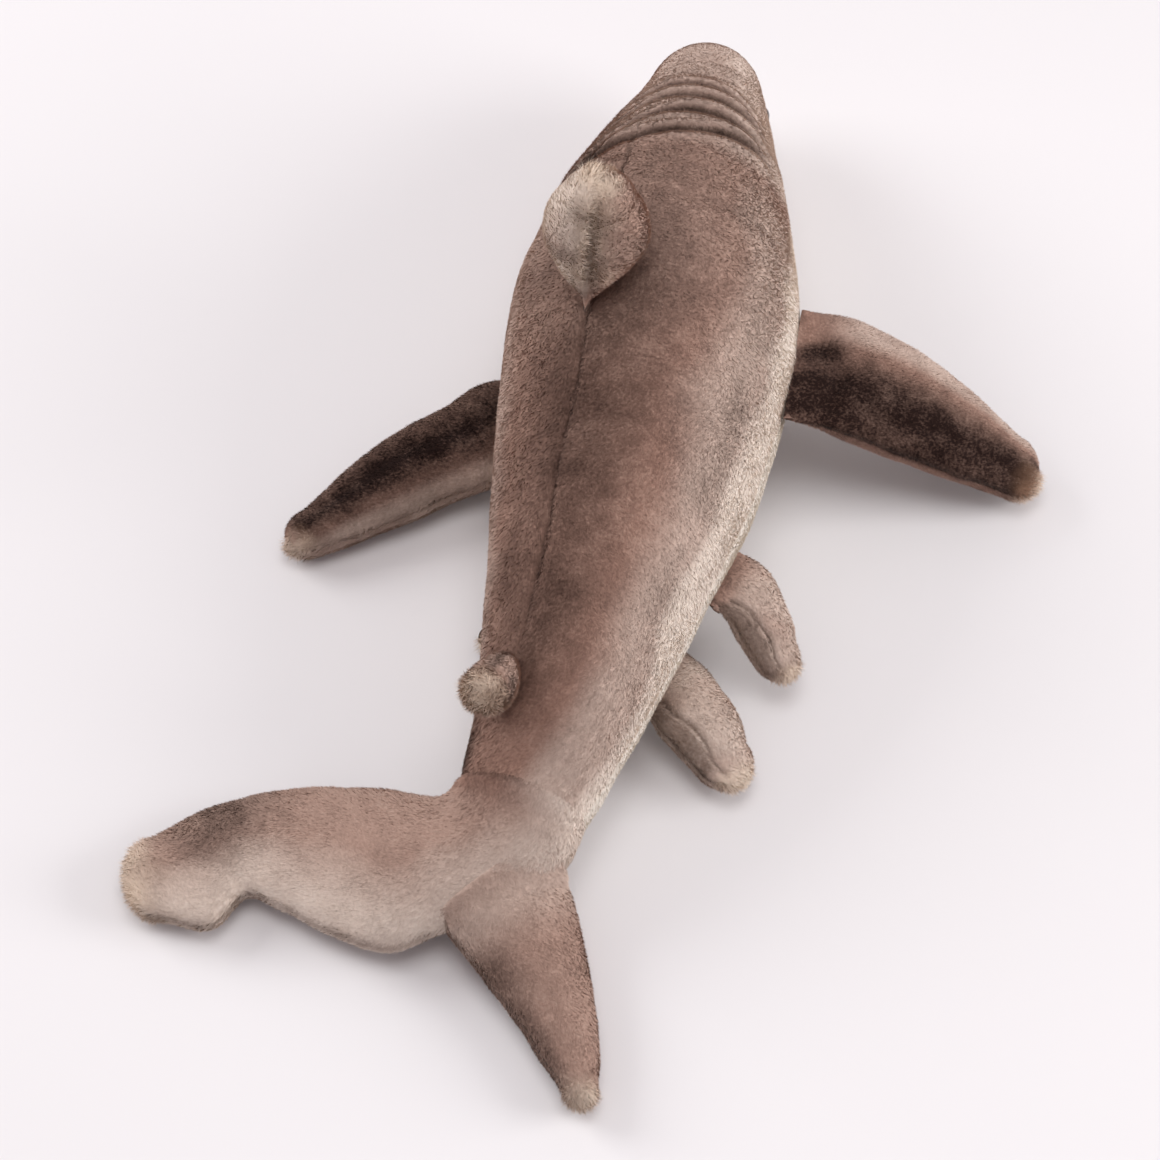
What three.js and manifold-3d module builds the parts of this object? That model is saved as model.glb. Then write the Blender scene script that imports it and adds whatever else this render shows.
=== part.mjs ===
// Plush great white shark lying on its belly: sewn plush panels over fibre filling, padded fins,
// a two-lobed tail, safety eyes on washers, and a felt mouth with felt teeth.
// Millimetres. +Z is up, +Y runs to the snout and +X to the shark's right side.
// The origin is the middle of the flat patch that the belly rests on.

import * as THREE from "three";
import Module from "manifold-3d";
import { mergeVertices } from "three/addons/utils/BufferGeometryUtils.js";

const wasm = await Module();
wasm.setup();

// Cloth, filling and the gaps at sewn edges
const TRUNK_PLUSH = 3; // backing cloth with its pile pressed flat
const FIN_PLUSH = 2.4;
const SEAM_GAP = 0.3; // between two panels along a seam
const FILL_GAP = 0.5; // between a fin's panels and the filling inside them
const TRUNK_FILL_GAP = 0.8; // the same in the trunk, whose facets are larger
const LEAST_HOLLOW = 0.3; // half the hollow left where a fin is pinched shut
const FLOOR = 0; // height of the surface that the shark lies on

// Trunk: its stations are counted back from the snout tip
const SNOUT_Y = 235; // how far the snout tip lies in front of the origin
const SNOUT_ROUND = 30; // length of the rounded snout end
const CREASE_BACK = 470; // from the snout tip to the crease where the tail is sewn on
const CREASE_SLOPE = 14; // slope of the trunk's and the tail's end faces away from the crease, degrees
const BACK_SEAM = 0; // angle of the seam along the back, degrees
const BELLY_MIDDLE = 180;

// Each station: back from the snout, sideways, height of the middle, half width, half height,
// how far the back seam rolls to the left, and the angle of the seam beside the belly
const TRUNK = [
  { at: 0, side: -3, middle: 45, wide: 25, tall: 24, roll: 28, seam: 150 },
  { at: 30, side: -2, middle: 49, wide: 30.5, tall: 31, roll: 27, seam: 148 },
  { at: 75, side: -1.2, middle: 57, wide: 42.2, tall: 45, roll: 25, seam: 137 },
  { at: 135, side: -2, middle: 64, wide: 58.2, tall: 62, roll: 23, seam: 118 },
  { at: 200, side: -1, middle: 65, wide: 71.5, tall: 68.5, roll: 22, seam: 108 },
  { at: 265, side: 1, middle: 65, wide: 69, tall: 67.5, roll: 24, seam: 108 },
  { at: 330, side: -1, middle: 65, wide: 59, tall: 55, roll: 26, seam: 112 },
  { at: 385, side: -5, middle: 58, wide: 48.5, tall: 45, roll: 29, seam: 118 },
  { at: 435, side: -11, middle: 49, wide: 38, tall: 34, roll: 36, seam: 124 },
  { at: CREASE_BACK, side: -18, middle: 40, wide: 32, tall: 24, roll: 52, seam: 128 },
];

// Padded fins: ribs run from the root to the start of the rounded tip, in shares of the fin's
// own length, chord and half thickness
const ROOT_GAP = 0.4; // between a fin's sewn root and the round of the trunk
const SWEEP_SHARE = 0.4; // the ribs turn back over this share of a fin's length
const LEFT_PECTORAL_SWEEP_SHARE = 0.25;
const RIGHT_PELVIC_SWEEP_SHARE = 0.5;

const PADDLE = [
  { at: 0, lead: 0.46, trail: -0.56, swell: 0 },
  { at: 0.025, lead: 0.48, trail: -0.55, swell: 0.27 },
  { at: 0.08, lead: 0.53, trail: -0.52, swell: 0.55 },
  { at: 0.2, lead: 0.57, trail: -0.47, swell: 0.86 },
  { at: 0.42, lead: 0.56, trail: -0.41, swell: 1 },
  { at: 0.65, lead: 0.46, trail: -0.35, swell: 0.93 },
  { at: 0.88, lead: 0.26, trail: -0.26, swell: 0.72 },
];
const LEAF = [
  { at: 0, lead: 0.42, trail: -0.5, swell: 0 },
  { at: 0.05, lead: 0.46, trail: -0.5, swell: 0.36 },
  { at: 0.14, lead: 0.49, trail: -0.48, swell: 0.66 },
  { at: 0.34, lead: 0.51, trail: -0.4, swell: 0.95 },
  { at: 0.6, lead: 0.45, trail: -0.37, swell: 1 },
  { at: 0.8, lead: 0.3, trail: -0.37, swell: 0.84 },
];
const CREST = [
  { at: 0, lead: 0.5, trail: -0.5, swell: 0 },
  { at: 0.045, lead: 0.5, trail: -0.5, swell: 0.2 },
  { at: 0.12, lead: 0.48, trail: -0.49, swell: 0.47 },
  { at: 0.24, lead: 0.43, trail: -0.47, swell: 0.82 },
  { at: 0.4, lead: 0.36, trail: -0.44, swell: 1 },
  { at: 0.58, lead: 0.27, trail: -0.4, swell: 0.93 },
  { at: 0.76, lead: 0.16, trail: -0.34, swell: 0.7 },
];

const DORSAL = { length: 74, chord: 62, thick: 52, tip: 0.24, sweep: 4, ribs: CREST };
const DORSAL_SEAT = { back: 222, angle: 0, lean: 25 };
const SECOND_DORSAL = { length: 34, chord: 30, thick: 25, tip: 0.34, sweep: 22, ribs: LEAF };
const SECOND_DORSAL_SEAT = { back: 433, angle: 0, lean: 24, gap: 0.7 };

const PECTORAL = { length: 139, thick: 31, tip: 0.12, ribs: PADDLE };
const LEFT_PECTORAL_CHORD = 53; // the left fins lie pressed under the rolled trunk
const RIGHT_PECTORAL_CHORD = 72;
const LEFT_PECTORAL_BACK = 238;
const RIGHT_PECTORAL_BACK = 224;
const PECTORAL_ANGLE = 105;
const LEFT_PECTORAL_LEAN = 34.5;
const RIGHT_PECTORAL_LEAN = 35;
const LEFT_PECTORAL_SWEEP = 33;
const RIGHT_PECTORAL_SWEEP = 1;

const PELVIC = { length: 56.5, chord: 41, tip: 0.22, ribs: LEAF };
const LEFT_PELVIC_THICK = 12;
const RIGHT_PELVIC_THICK = 20;
const PELVIC_BACK = 331.5;
const PELVIC_ANGLE = 136;
const LEFT_PELVIC_LEAN = 60.5;
const LEFT_PELVIC_GAP = 1.9; // its pad, not its root, comes closest to the trunk
const RIGHT_PELVIC_LEAN = 12;
const LEFT_PELVIC_SWEEP = 39;
const RIGHT_PELVIC_SWEEP = 24.5;

const ANAL = { length: 70.5, chord: 47, thick: 24, tip: 0.22, sweep: 32.5, ribs: LEAF };
const ANAL_SEAT = { back: 377, angle: 171, lean: -46, gap: 0.9 };

// Tail: ribs fan round from the crease, in shares of each lobe's own reach back, reach sideways
// and half thickness, and of the drop from the crease to the floor
const TAIL_DROP = 29;
const LOBE_SEAM_GAP = 0.5; // wider than a fin's, because the lobes' seams bend out of a plane
const UPPER_LOBE = { back: 101, side: 165, thick: 44, tip: 13 };
const UPPER_RIBS = [
  { at: 0, leadX: 0, leadY: -0.192, trailX: 0, trailY: 0.186, drop: 0, swell: 1 },
  { at: 0.12, leadX: 0.03, leadY: -0.22, trailX: 0.2, trailY: 0.175, drop: 0.24, swell: 0.95 },
  { at: 0.24, leadX: 0.03, leadY: -0.25, trailX: 0.455, trailY: 0.06, drop: 0.46, swell: 0.9 },
  { at: 0.36, leadX: 0.02, leadY: -0.3, trailX: 0.64, trailY: -0.08, drop: 0.64, swell: 0.84 },
  { at: 0.48, leadX: 0.03, leadY: -0.41, trailX: 0.79, trailY: -0.18, drop: 0.76, swell: 0.78 },
  { at: 0.62, leadX: 0.1, leadY: -0.56, trailX: 0.805, trailY: -0.34, drop: 0.83, swell: 0.71 },
  { at: 0.74, leadX: 0.19, leadY: -0.69, trailX: 0.765, trailY: -0.51, drop: 0.88, swell: 0.64 },
  { at: 0.84, leadX: 0.3, leadY: -0.79, trailX: 0.76, trailY: -0.63, drop: 0.92, swell: 0.58 },
  { at: 0.92, leadX: 0.45, leadY: -0.88, trailX: 0.96, trailY: -0.68, drop: 0.93, swell: 0.57 },
  { at: 1, leadX: 0.63, leadY: -0.96, trailX: 1, trailY: -0.82, drop: 0.96, swell: 0.52 },
];
const LOWER_LOBE = { back: 113, side: 79, thick: 33, tip: 9 };
const LOWER_RIBS = [
  { at: 0, leadX: 0.08, leadY: 0.24, trailX: 0.54, trailY: -0.22, drop: 0.62, swell: 0.9 },
  { at: 0.22, leadX: 0.22, leadY: 0.44, trailX: 0.62, trailY: -0.01, drop: 0.74, swell: 1 },
  { at: 0.44, leadX: 0.4, leadY: 0.62, trailX: 0.72, trailY: 0.22, drop: 0.83, swell: 0.94 },
  { at: 0.66, leadX: 0.61, leadY: 0.8, trailX: 0.82, trailY: 0.45, drop: 0.91, swell: 0.78 },
  { at: 0.84, leadX: 0.79, leadY: 0.935, trailX: 0.91, trailY: 0.62, drop: 0.96, swell: 0.68 },
  { at: 1, leadX: 0.92, leadY: 1, trailX: 1, trailY: 0.79, drop: 1, swell: 0.6 },
];

// Safety eyes, held by a washer pressed on the stem inside the panel
const EYE_BACK = 36;
const EYE_ANGLE = 134;
const EYE_WIDTH = 11;
const EYE_DOME = 3.6;
const EYE_STEM = 4.4; // across
const EYE_STEM_PAST = 2.4; // how far the stem shows past its washer
const WASHER_WIDTH = 12;
const WASHER_THICK = 2;
const STEM_FIT = 0.3; // round the stem, in the cloth and in the washer
const EYE_SIT = 0.36; // under the eye and under its washer

// Felt mouth on the underside of the head, an arc whose corners lie further back
const MOUTH_BACK = 58;
const MOUTH_CORNER_BACK = 20;
const MOUTH_HALF_ANGLE = 33;
const MOUTH_DEPTH = 17;
const FELT = 1.2;
const FELT_GAP = 0.3;
const TEETH = 9;
const TOOTH_LENGTH = 7;
const TOOTH_BAND = 2; // uncut felt along the row of teeth
const TEETH_SHARE = 0.9; // the row of teeth stops short of the mouth's corners
const CORNER_SHARE = 0.14; // how much of the mouth's depth is left at its corners

// How finely the cloth is faceted
const SNOUT_RINGS = 4;
const TRUNK_RINGS = 15;
const BACK_SEGMENTS = 8;
const BELLY_SEGMENTS = 9;
const FILL_SEGMENTS = 4; // on each side of the back
const TIP_RINGS = 3;
const FIN_SEGMENTS = 5;
const LOBE_SEGMENTS = 6;
const ROUND_SIDES = 20;
const DOME_RINGS = 5;
const MOUTH_ROWS = 3;
const MOUTH_COLUMNS = 12;
const WELD = 1e-3; // points closer than this are one point

const plush = { brown: 0x8b7268, shade: 0x6d564d, cream: 0xe9e2d8 };
const degrees = THREE.MathUtils.degToRad;

function finish(color, roughness) {
  return new THREE.MeshStandardMaterial({ color, roughness, metalness: 0 });
}

const brownPlush = finish(plush.brown, 0.95);
const finPlush = finish(plush.shade, 0.95);
const creamPlush = finish(plush.cream, 0.95);
const fibreFill = finish(0xf4f2ec, 1);
const eyePlastic = finish(0x0b0a0a, 0.15);
const washerPlastic = finish(0xd9d6cf, 0.5);
const mouthFelt = finish(0x8c4a4c, 0.95);
const toothFelt = finish(0xf7f4ec, 0.95);

// Cubic through the rows, with each row's slope taken from the rows on both sides of it
function smooth(rows, key, at) {
  let first = 0;
  while (first < rows.length - 2 && at > rows[first + 1].at) first += 1;
  const slope = (index) => {
    const before = rows[Math.max(index - 1, 0)];
    const after = rows[Math.min(index + 1, rows.length - 1)];
    return (after[key] - before[key]) / (after.at - before.at);
  };
  const from = rows[first];
  const to = rows[first + 1];
  const step = to.at - from.at;
  const t = (at - from.at) / step;
  const rise = t * t * (3 - 2 * t);
  const leave = t * (1 - t) * (1 - t) * step * slope(first);
  const arrive = t * t * (1 - t) * step * slope(first + 1);
  return from[key] * (1 - rise) + to[key] * rise + leave - arrive;
}

// A quarter ellipse that shuts a rounded end: 0 at the very end, 1 from one round length on
function roundEnd(distance, round) {
  const inside = 1 - Math.min(Math.max(distance / round, 0), 1);
  return Math.sqrt(1 - inside * inside);
}

function spread(count, from, to) {
  return Array.from({ length: count + 1 }, (_, i) => from + ((to - from) * i) / count);
}

// A closed geometry from points and triangles, with shared points merged, empty triangles left out
// and every face pointing out
function closedGeometry(points, triangles) {
  const raw = new THREE.BufferGeometry();
  raw.setAttribute("position", new THREE.Float32BufferAttribute(points.flatMap((p) => p.toArray()), 3));
  raw.setIndex(triangles.flat());
  const merged = mergeVertices(raw, WELD);
  const index = merged.getIndex().array;
  const position = merged.getAttribute("position");
  const corner = [0, 1, 2].map(() => new THREE.Vector3());
  const kept = [];
  let volume = 0;
  for (let i = 0; i < index.length; i += 3) {
    const [a, b, c] = [index[i], index[i + 1], index[i + 2]];
    if (a === b || b === c || c === a) continue;
    kept.push([a, b, c]);
    corner.forEach((point, k) => point.fromBufferAttribute(position, index[i + k]));
    volume += corner[0].dot(corner[1].clone().cross(corner[2]));
  }
  merged.setIndex(kept.flatMap(([a, b, c]) => (volume > 0 ? [a, b, c] : [a, c, b])));
  merged.computeVertexNormals();
  return merged;
}

// A solid lofted through closed rings of points, with a fan over each end
function loft(rings) {
  const count = rings[0].length;
  const points = rings.flat();
  const triangles = [];
  for (let i = 0; i + 1 < rings.length; i += 1) {
    for (let j = 0; j < count; j += 1) {
      const a = i * count + j;
      const b = i * count + ((j + 1) % count);
      triangles.push([a, b, b + count], [a, b + count, a + count]);
    }
  }
  const fan = (ring, offset, turn) => {
    const middle = ring.reduce((sum, p) => sum.add(p), new THREE.Vector3()).divideScalar(count);
    points.push(middle);
    for (let j = 0; j < count; j += 1) {
      const side = [offset + j, offset + ((j + 1) % count)];
      triangles.push(turn ? [points.length - 1, side[1], side[0]] : [points.length - 1, side[0], side[1]]);
    }
  };
  fan(rings[0], 0, true);
  fan(rings.at(-1), (rings.length - 1) * count, false);
  return closedGeometry(points, triangles);
}

// A sheet with thickness: an outer and an inner grid of points, joined round all four edges
function sheet(outer, inner) {
  const rows = outer.length;
  const columns = outer[0].length;
  const points = [...outer.flat(), ...inner.flat()];
  const out = (i, j) => i * columns + j;
  const back = (i, j) => rows * columns + out(i, j);
  const triangles = [];
  const quad = (a, b, c, d) => triangles.push([a, b, c], [a, c, d]);
  for (let i = 0; i + 1 < rows; i += 1) {
    for (let j = 0; j + 1 < columns; j += 1) {
      quad(out(i, j), out(i, j + 1), out(i + 1, j + 1), out(i + 1, j));
      quad(back(i, j), back(i + 1, j), back(i + 1, j + 1), back(i, j + 1));
    }
    quad(out(i, 0), out(i + 1, 0), back(i + 1, 0), back(i, 0));
    quad(out(i, columns - 1), back(i, columns - 1), back(i + 1, columns - 1), out(i + 1, columns - 1));
  }
  for (let j = 0; j + 1 < columns; j += 1) {
    quad(out(0, j), back(0, j), back(0, j + 1), out(0, j + 1));
    quad(out(rows - 1, j), out(rows - 1, j + 1), back(rows - 1, j + 1), back(rows - 1, j));
  }
  return closedGeometry(points, triangles);
}

function toSolid(geometry) {
  const bare = new THREE.BufferGeometry();
  bare.setAttribute("position", geometry.getAttribute("position"));
  if (geometry.getIndex()) bare.setIndex(geometry.getIndex());
  const merged = mergeVertices(bare, WELD);
  const vertProperties = new Float32Array(merged.getAttribute("position").array);
  const triVerts = new Uint32Array(merged.getIndex().array);
  return new wasm.Manifold(new wasm.Mesh({ numProp: 3, vertProperties, triVerts }));
}

function toGeometry(solid) {
  const { vertProperties, triVerts } = solid.getMesh();
  const geometry = new THREE.BufferGeometry();
  geometry.setAttribute("position", new THREE.Float32BufferAttribute(vertProperties, 3));
  geometry.setIndex(Array.from(triVerts));
  geometry.computeVertexNormals();
  return geometry;
}

function cut(geometry, ...tools) {
  return toGeometry(tools.reduce((solid, tool) => solid.subtract(toSolid(tool)), toSolid(geometry)));
}

// The trunk

function spine(back) {
  return new THREE.Vector3(smooth(TRUNK, "side", back), SNOUT_Y - back, smooth(TRUNK, "middle", back));
}

// Axes of the trunk's upright section: to the tail, to the right, and up
function sectionAxes(back) {
  const tailward = spine(Math.min(back + 1, CREASE_BACK)).sub(spine(Math.max(back - 1, 0)));
  tailward.setZ(0).normalize();
  const up = new THREE.Vector3(0, 0, 1);
  const right = new THREE.Vector3().crossVectors(up, tailward);
  return { tailward, right, up };
}

// A point of the trunk's skin, or of the skin drawn in by inset. The angle runs from the back seam
// down the right side. The belly is pressed flat on the floor, and the tail end slopes away from
// the crease on both sides.
function trunkPoint(back, angle, inset) {
  const { tailward, right, up } = sectionAxes(back);
  const shut = roundEnd(back - inset, SNOUT_ROUND - inset);
  const turn = degrees(angle - smooth(TRUNK, "roll", back));
  const sideways = (smooth(TRUNK, "wide", back) - inset) * shut * Math.sin(turn);
  const upward = (smooth(TRUNK, "tall", back) - inset) * shut * Math.cos(turn);
  const point = spine(back).addScaledVector(right, sideways).addScaledVector(up, upward);
  point.z = Math.max(point.z, FLOOR + inset);
  if (back === CREASE_BACK) {
    point.addScaledVector(tailward, -SEAM_GAP / 2 - Math.abs(upward) * Math.tan(degrees(CREASE_SLOPE)));
  }
  return point;
}

// Stations of the trunk's rings, closest together where the snout rounds off
function trunkStations(inset) {
  const round = SNOUT_ROUND - inset;
  const snout = spread(SNOUT_RINGS, 0, 90).map((turn) => inset + round * (1 - Math.cos(degrees(turn))));
  return [...snout, ...spread(TRUNK_RINGS, SNOUT_ROUND, CREASE_BACK).slice(1)];
}

// Points of one panel, moved sideways from its seams by half the seam gap
function panelGrid(from, to, segments, toward, inset) {
  return trunkStations(inset).map((back) => {
    const { right, up } = sectionAxes(back);
    const turn = degrees(toward - smooth(TRUNK, "roll", back));
    const shift = right.multiplyScalar(Math.sin(turn)).addScaledVector(up, Math.cos(turn));
    const angles = spread(segments, from(back), to(back));
    return angles.map((angle) => trunkPoint(back, angle, inset).addScaledVector(shift, SEAM_GAP / 2));
  });
}

const bellySeam = (back) => smooth(TRUNK, "seam", back);
const backSeam = () => BACK_SEAM;

function trunkPanel(from, to, segments, toward) {
  const outer = panelGrid(from, to, segments, toward, 0);
  return sheet(outer, panelGrid(from, to, segments, toward, TRUNK_PLUSH));
}

// The belly lies on the floor, so its points move back up to it after the seam gap is made
function bellyPanel() {
  const seamToSeam = [bellySeam, (back) => 360 - bellySeam(back), BELLY_SEGMENTS, BELLY_MIDDLE];
  const outer = panelGrid(...seamToSeam, 0);
  const inner = panelGrid(...seamToSeam, TRUNK_PLUSH);
  outer.flat().forEach((point) => point.setZ(Math.max(point.z, FLOOR)));
  inner.flat().forEach((point) => point.setZ(Math.max(point.z, FLOOR + TRUNK_PLUSH)));
  return sheet(outer, inner);
}

// The filling has the belly's own facets, and fewer than the panels over the back
function trunkFilling() {
  const inset = TRUNK_PLUSH + SEAM_GAP / 2 + TRUNK_FILL_GAP;
  const angles = (back) => {
    const seam = bellySeam(back);
    const belly = spread(BELLY_SEGMENTS, seam, 360 - seam);
    const right = spread(FILL_SEGMENTS, BACK_SEAM, seam).slice(0, -1);
    const left = spread(FILL_SEGMENTS, 360 - seam, 360 + BACK_SEAM).slice(1, -1);
    return [...right, ...belly, ...left];
  };
  const ring = (back) => angles(back).map((angle) => trunkPoint(back, angle, inset));
  return loft(trunkStations(inset).map(ring));
}

// Axes on the trunk's skin: out of it, forward along it, and round it to growing angles
function skinAxes(back, angle) {
  const point = trunkPoint(back, angle, 0);
  const fore = trunkPoint(back - 1, angle, 0).sub(trunkPoint(back + 1, angle, 0)).normalize();
  const round = trunkPoint(back, angle + 1, 0).sub(trunkPoint(back, angle - 1, 0));
  round.addScaledVector(fore, -round.dot(fore)).normalize();
  return { point, fore, round, out: new THREE.Vector3().crossVectors(round, fore) };
}

// Padded fins

// A point of a fin's pillow, drawn in by inset, in the fin's own axes: along it from the root,
// across it to its leading edge, and through its thickness. The angle runs round the section from
// the leading edge. Past the last rib the tip is rounded off, and the sweep turns the ribs back.
function finPoint(fin, at, angle, inset) {
  const start = 1 - fin.tip;
  const past = Math.max(at - start, 0) / fin.tip;
  const shut = Math.sqrt(Math.max(1 - past * past, 0));
  const rib = Math.min(at, start);
  const lead = smooth(fin.ribs, "lead", rib) * fin.chord;
  const trail = smooth(fin.ribs, "trail", rib) * fin.chord;
  const along = rib * fin.length + past * (fin.tip * fin.length - inset);
  const across = (lead + trail) / 2 + ((lead - trail) / 2 - inset) * shut * Math.cos(angle);
  const swollen = smooth(fin.ribs, "swell", rib) * fin.thick / 2;
  const through = Math.max(swollen - inset, inset > 0 ? LEAST_HOLLOW : 0) * shut * Math.sin(angle);
  const sweep = degrees(fin.sweep) * THREE.MathUtils.smoothstep(at, 0, fin.sweepShare ?? SWEEP_SHARE);
  return new THREE.Vector3(
    along * Math.cos(sweep) + across * Math.sin(sweep),
    across * Math.cos(sweep) - along * Math.sin(sweep),
    through,
  );
}

function finStations(fin, from) {
  const start = 1 - fin.tip;
  const ribs = fin.ribs.map((rib) => rib.at).filter((at) => at > from && at < start);
  const tip = spread(TIP_RINGS, 0, 90).map((turn) => start + fin.tip * Math.sin(degrees(turn)));
  return [from, ...ribs, ...tip];
}

// Angles round one side of a section, always growing so that panels and filling share their facets
function halfTurn(segments, side) {
  return side > 0 ? spread(segments, 0, Math.PI) : spread(segments, -Math.PI, 0);
}

// One side of a fin: a bowl of plush whose rim lies along the fin's seam. No inner ring starts
// closer to the root than the plush is thick.
function finPanel(fin, side) {
  const turns = halfTurn(FIN_SEGMENTS, side);
  const grid = (inset) => {
    const stations = finStations(fin, 0).map((at) => Math.max(at, inset / fin.length));
    return stations.map((at) => turns.map((turn) => {
      const point = finPoint(fin, at, turn, inset);
      point.z += (side * SEAM_GAP) / 2;
      return point;
    }));
  };
  return sheet(grid(0), grid(FIN_PLUSH));
}

// The filling starts one rib past where the pinched root has opened far enough to hold it
function finFilling(fin) {
  const inset = FIN_PLUSH + FILL_GAP;
  const turns = spread(2 * FIN_SEGMENTS, 0, 2 * Math.PI).slice(0, -1);
  const open = (rib) => (rib.swell * fin.thick) / 2 > inset + 2 * LEAST_HOLLOW;
  const from = fin.ribs[fin.ribs.findIndex(open) + 1].at;
  return loft(finStations(fin, from).map((at) => turns.map((turn) => finPoint(fin, at, turn, inset))));
}

// A fin's group stands on the trunk with its pinched root just clear of the skin. The lean tips it
// from square to the skin towards growing angles.
function seatFin(seat) {
  const { point, fore, round, out } = skinAxes(seat.back, seat.angle);
  const lean = degrees(seat.lean);
  const span = out.clone().multiplyScalar(Math.cos(lean)).addScaledVector(round, Math.sin(lean));
  const group = new THREE.Group();
  group.setRotationFromMatrix(new THREE.Matrix4().makeBasis(span, fore, span.clone().cross(fore)));
  group.position.copy(point).addScaledVector(out, seat.gap ?? ROOT_GAP);
  return group;
}

// The tail

// A point of a tail lobe, in the tail's axes: back from the crease, to the right, and up
function lobePoint(lobe, ribs, at, past, angle, inset) {
  const value = (key) => smooth(ribs, key, at);
  const lead = new THREE.Vector2(value("leadX") * lobe.back, value("leadY") * lobe.side);
  const trail = new THREE.Vector2(value("trailX") * lobe.back, value("trailY") * lobe.side);
  const middle = lead.clone().add(trail).divideScalar(2);
  const half = lead.clone().sub(middle);
  const toLead = half.clone().normalize();
  const outward = new THREE.Vector2(-toLead.y, toLead.x).multiplyScalar(lobe.outward);
  const shut = Math.sqrt(Math.max(1 - past * past, 0));
  const flat = middle.addScaledVector(toLead, (half.length() - inset) * shut * Math.cos(angle));
  flat.addScaledVector(outward, past * (lobe.tip - inset));
  const through = ((value("swell") * lobe.thick) / 2 - inset) * shut * Math.sin(angle);
  return new THREE.Vector3(flat.x, flat.y, through - value("drop") * TAIL_DROP);
}

function lobeRings(lobe, ribs, turns, inset, lift) {
  const stems = ribs.slice(0, -1).map((rib) => [rib.at, 0]);
  const tips = spread(TIP_RINGS, 0, 90).map((turn) => [1, Math.sin(degrees(turn))]);
  return [...stems, ...tips].map(([at, past], ring) => turns.map((turn) => {
    const point = lobePoint(lobe, ribs, at, past, turn, inset);
    point.z += lift;
    if (ring === 0 && lobe.sewnToTrunk) {
      point.x += SEAM_GAP / 2 + Math.abs(point.z) * Math.tan(degrees(CREASE_SLOPE));
    }
    return point;
  }));
}

function lobePanel(lobe, ribs, side) {
  const turns = halfTurn(LOBE_SEGMENTS, side);
  const lift = (side * LOBE_SEAM_GAP) / 2;
  return sheet(lobeRings(lobe, ribs, turns, 0, lift), lobeRings(lobe, ribs, turns, FIN_PLUSH, lift));
}

function lobeSolid(lobe, ribs, inset) {
  const turns = spread(2 * LOBE_SEGMENTS, 0, 2 * Math.PI).slice(0, -1);
  return loft(lobeRings(lobe, ribs, turns, inset, 0));
}

// Eyes and mouth

// Profiles of the eye, its washer and the holes for them, turned about the stem. Height is counted
// out of the skin from the outside of the panel.
const headHollow = smooth(TRUNK, "wide", EYE_BACK) - TRUNK_PLUSH;
const washerSag = (WASHER_WIDTH * WASHER_WIDTH) / 8 / headHollow; // the panel curves round the flat washer
const washerTop = -TRUNK_PLUSH - EYE_SIT - washerSag;
const stemEnd = washerTop - WASHER_THICK - EYE_STEM_PAST;

function turned(profile) {
  const points = profile.map(([radius, height]) => new THREE.Vector2(radius, height));
  return new THREE.LatheGeometry(points, ROUND_SIDES).rotateX(Math.PI / 2);
}

function eyeShape() {
  const dome = spread(DOME_RINGS, 0, 90).map((turn) => [
    (EYE_WIDTH / 2) * Math.cos(degrees(turn)),
    EYE_SIT + EYE_DOME * Math.sin(degrees(turn)),
  ]);
  dome.at(-1)[0] = 0;
  return turned([[0, stemEnd], [EYE_STEM / 2, stemEnd], [EYE_STEM / 2, EYE_SIT], ...dome]);
}

function ringShape(inner, outer, low, high) {
  return turned([[inner, low], [outer, low], [outer, high], [inner, high], [inner, low]]);
}

function plug(radius, low, high) {
  return turned([[0, low], [radius, low], [radius, high], [0, high]]);
}

function eyeGroup(angle) {
  const { point, fore, round, out } = skinAxes(EYE_BACK, angle);
  const group = new THREE.Group();
  group.setRotationFromMatrix(new THREE.Matrix4().makeBasis(round, fore, out));
  group.position.copy(point);
  group.updateMatrixWorld(true);
  return group;
}

// A patch of felt on the skin: rows run back from the front edge, columns run round the head
function feltPatch(rows, columns, backAt, low) {
  const grid = (height) => rows.map((row) => columns.map((column) => {
    const { point, out } = skinAxes(backAt(row, column), BELLY_MIDDLE + column * MOUTH_HALF_ANGLE);
    return point.addScaledVector(out, height);
  }));
  return sheet(grid(low + FELT), grid(low));
}

const mouthFront = (column) => MOUTH_BACK + MOUTH_CORNER_BACK * column * column;

function mouthLining() {
  const depth = (column) => MOUTH_DEPTH * Math.max(Math.sqrt(1 - column * column), CORNER_SHARE);
  const backAt = (row, column) => mouthFront(column) + row * depth(column);
  return feltPatch(spread(MOUTH_ROWS, 0, 1), spread(MOUTH_COLUMNS, -1, 1), backAt, SEAM_GAP / 2 + FELT_GAP);
}

// A band of felt along the front of the mouth, cut into pointed teeth
function teeth() {
  const columns = spread(2 * TEETH, -TEETH_SHARE, TEETH_SHARE);
  const lengthAt = (column) => {
    const isTip = columns.indexOf(column) % 2 === 1;
    return isTip ? TOOTH_LENGTH : TOOTH_BAND;
  };
  const backAt = (row, column) => mouthFront(column) + row * lengthAt(column);
  return feltPatch([0, 1], columns, backAt, SEAM_GAP / 2 + 2 * FELT_GAP + FELT);
}

// Assembly

const shark = new THREE.Group();

function add(parent, name, geometry, material) {
  const mesh = new THREE.Mesh(geometry, material);
  mesh.name = name;
  parent.add(mesh);
  return mesh;
}

function addFin(name, sides, fin, seat) {
  const group = seatFin(seat);
  shark.add(group);
  add(group, `${name}_${sides[0]}_panel`, finPanel(fin, 1), brownPlush);
  add(group, `${name}_${sides[1]}_panel`, finPanel(fin, -1), finPlush);
  add(group, `${name}_filling`, finFilling(fin), fibreFill);
}

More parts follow.
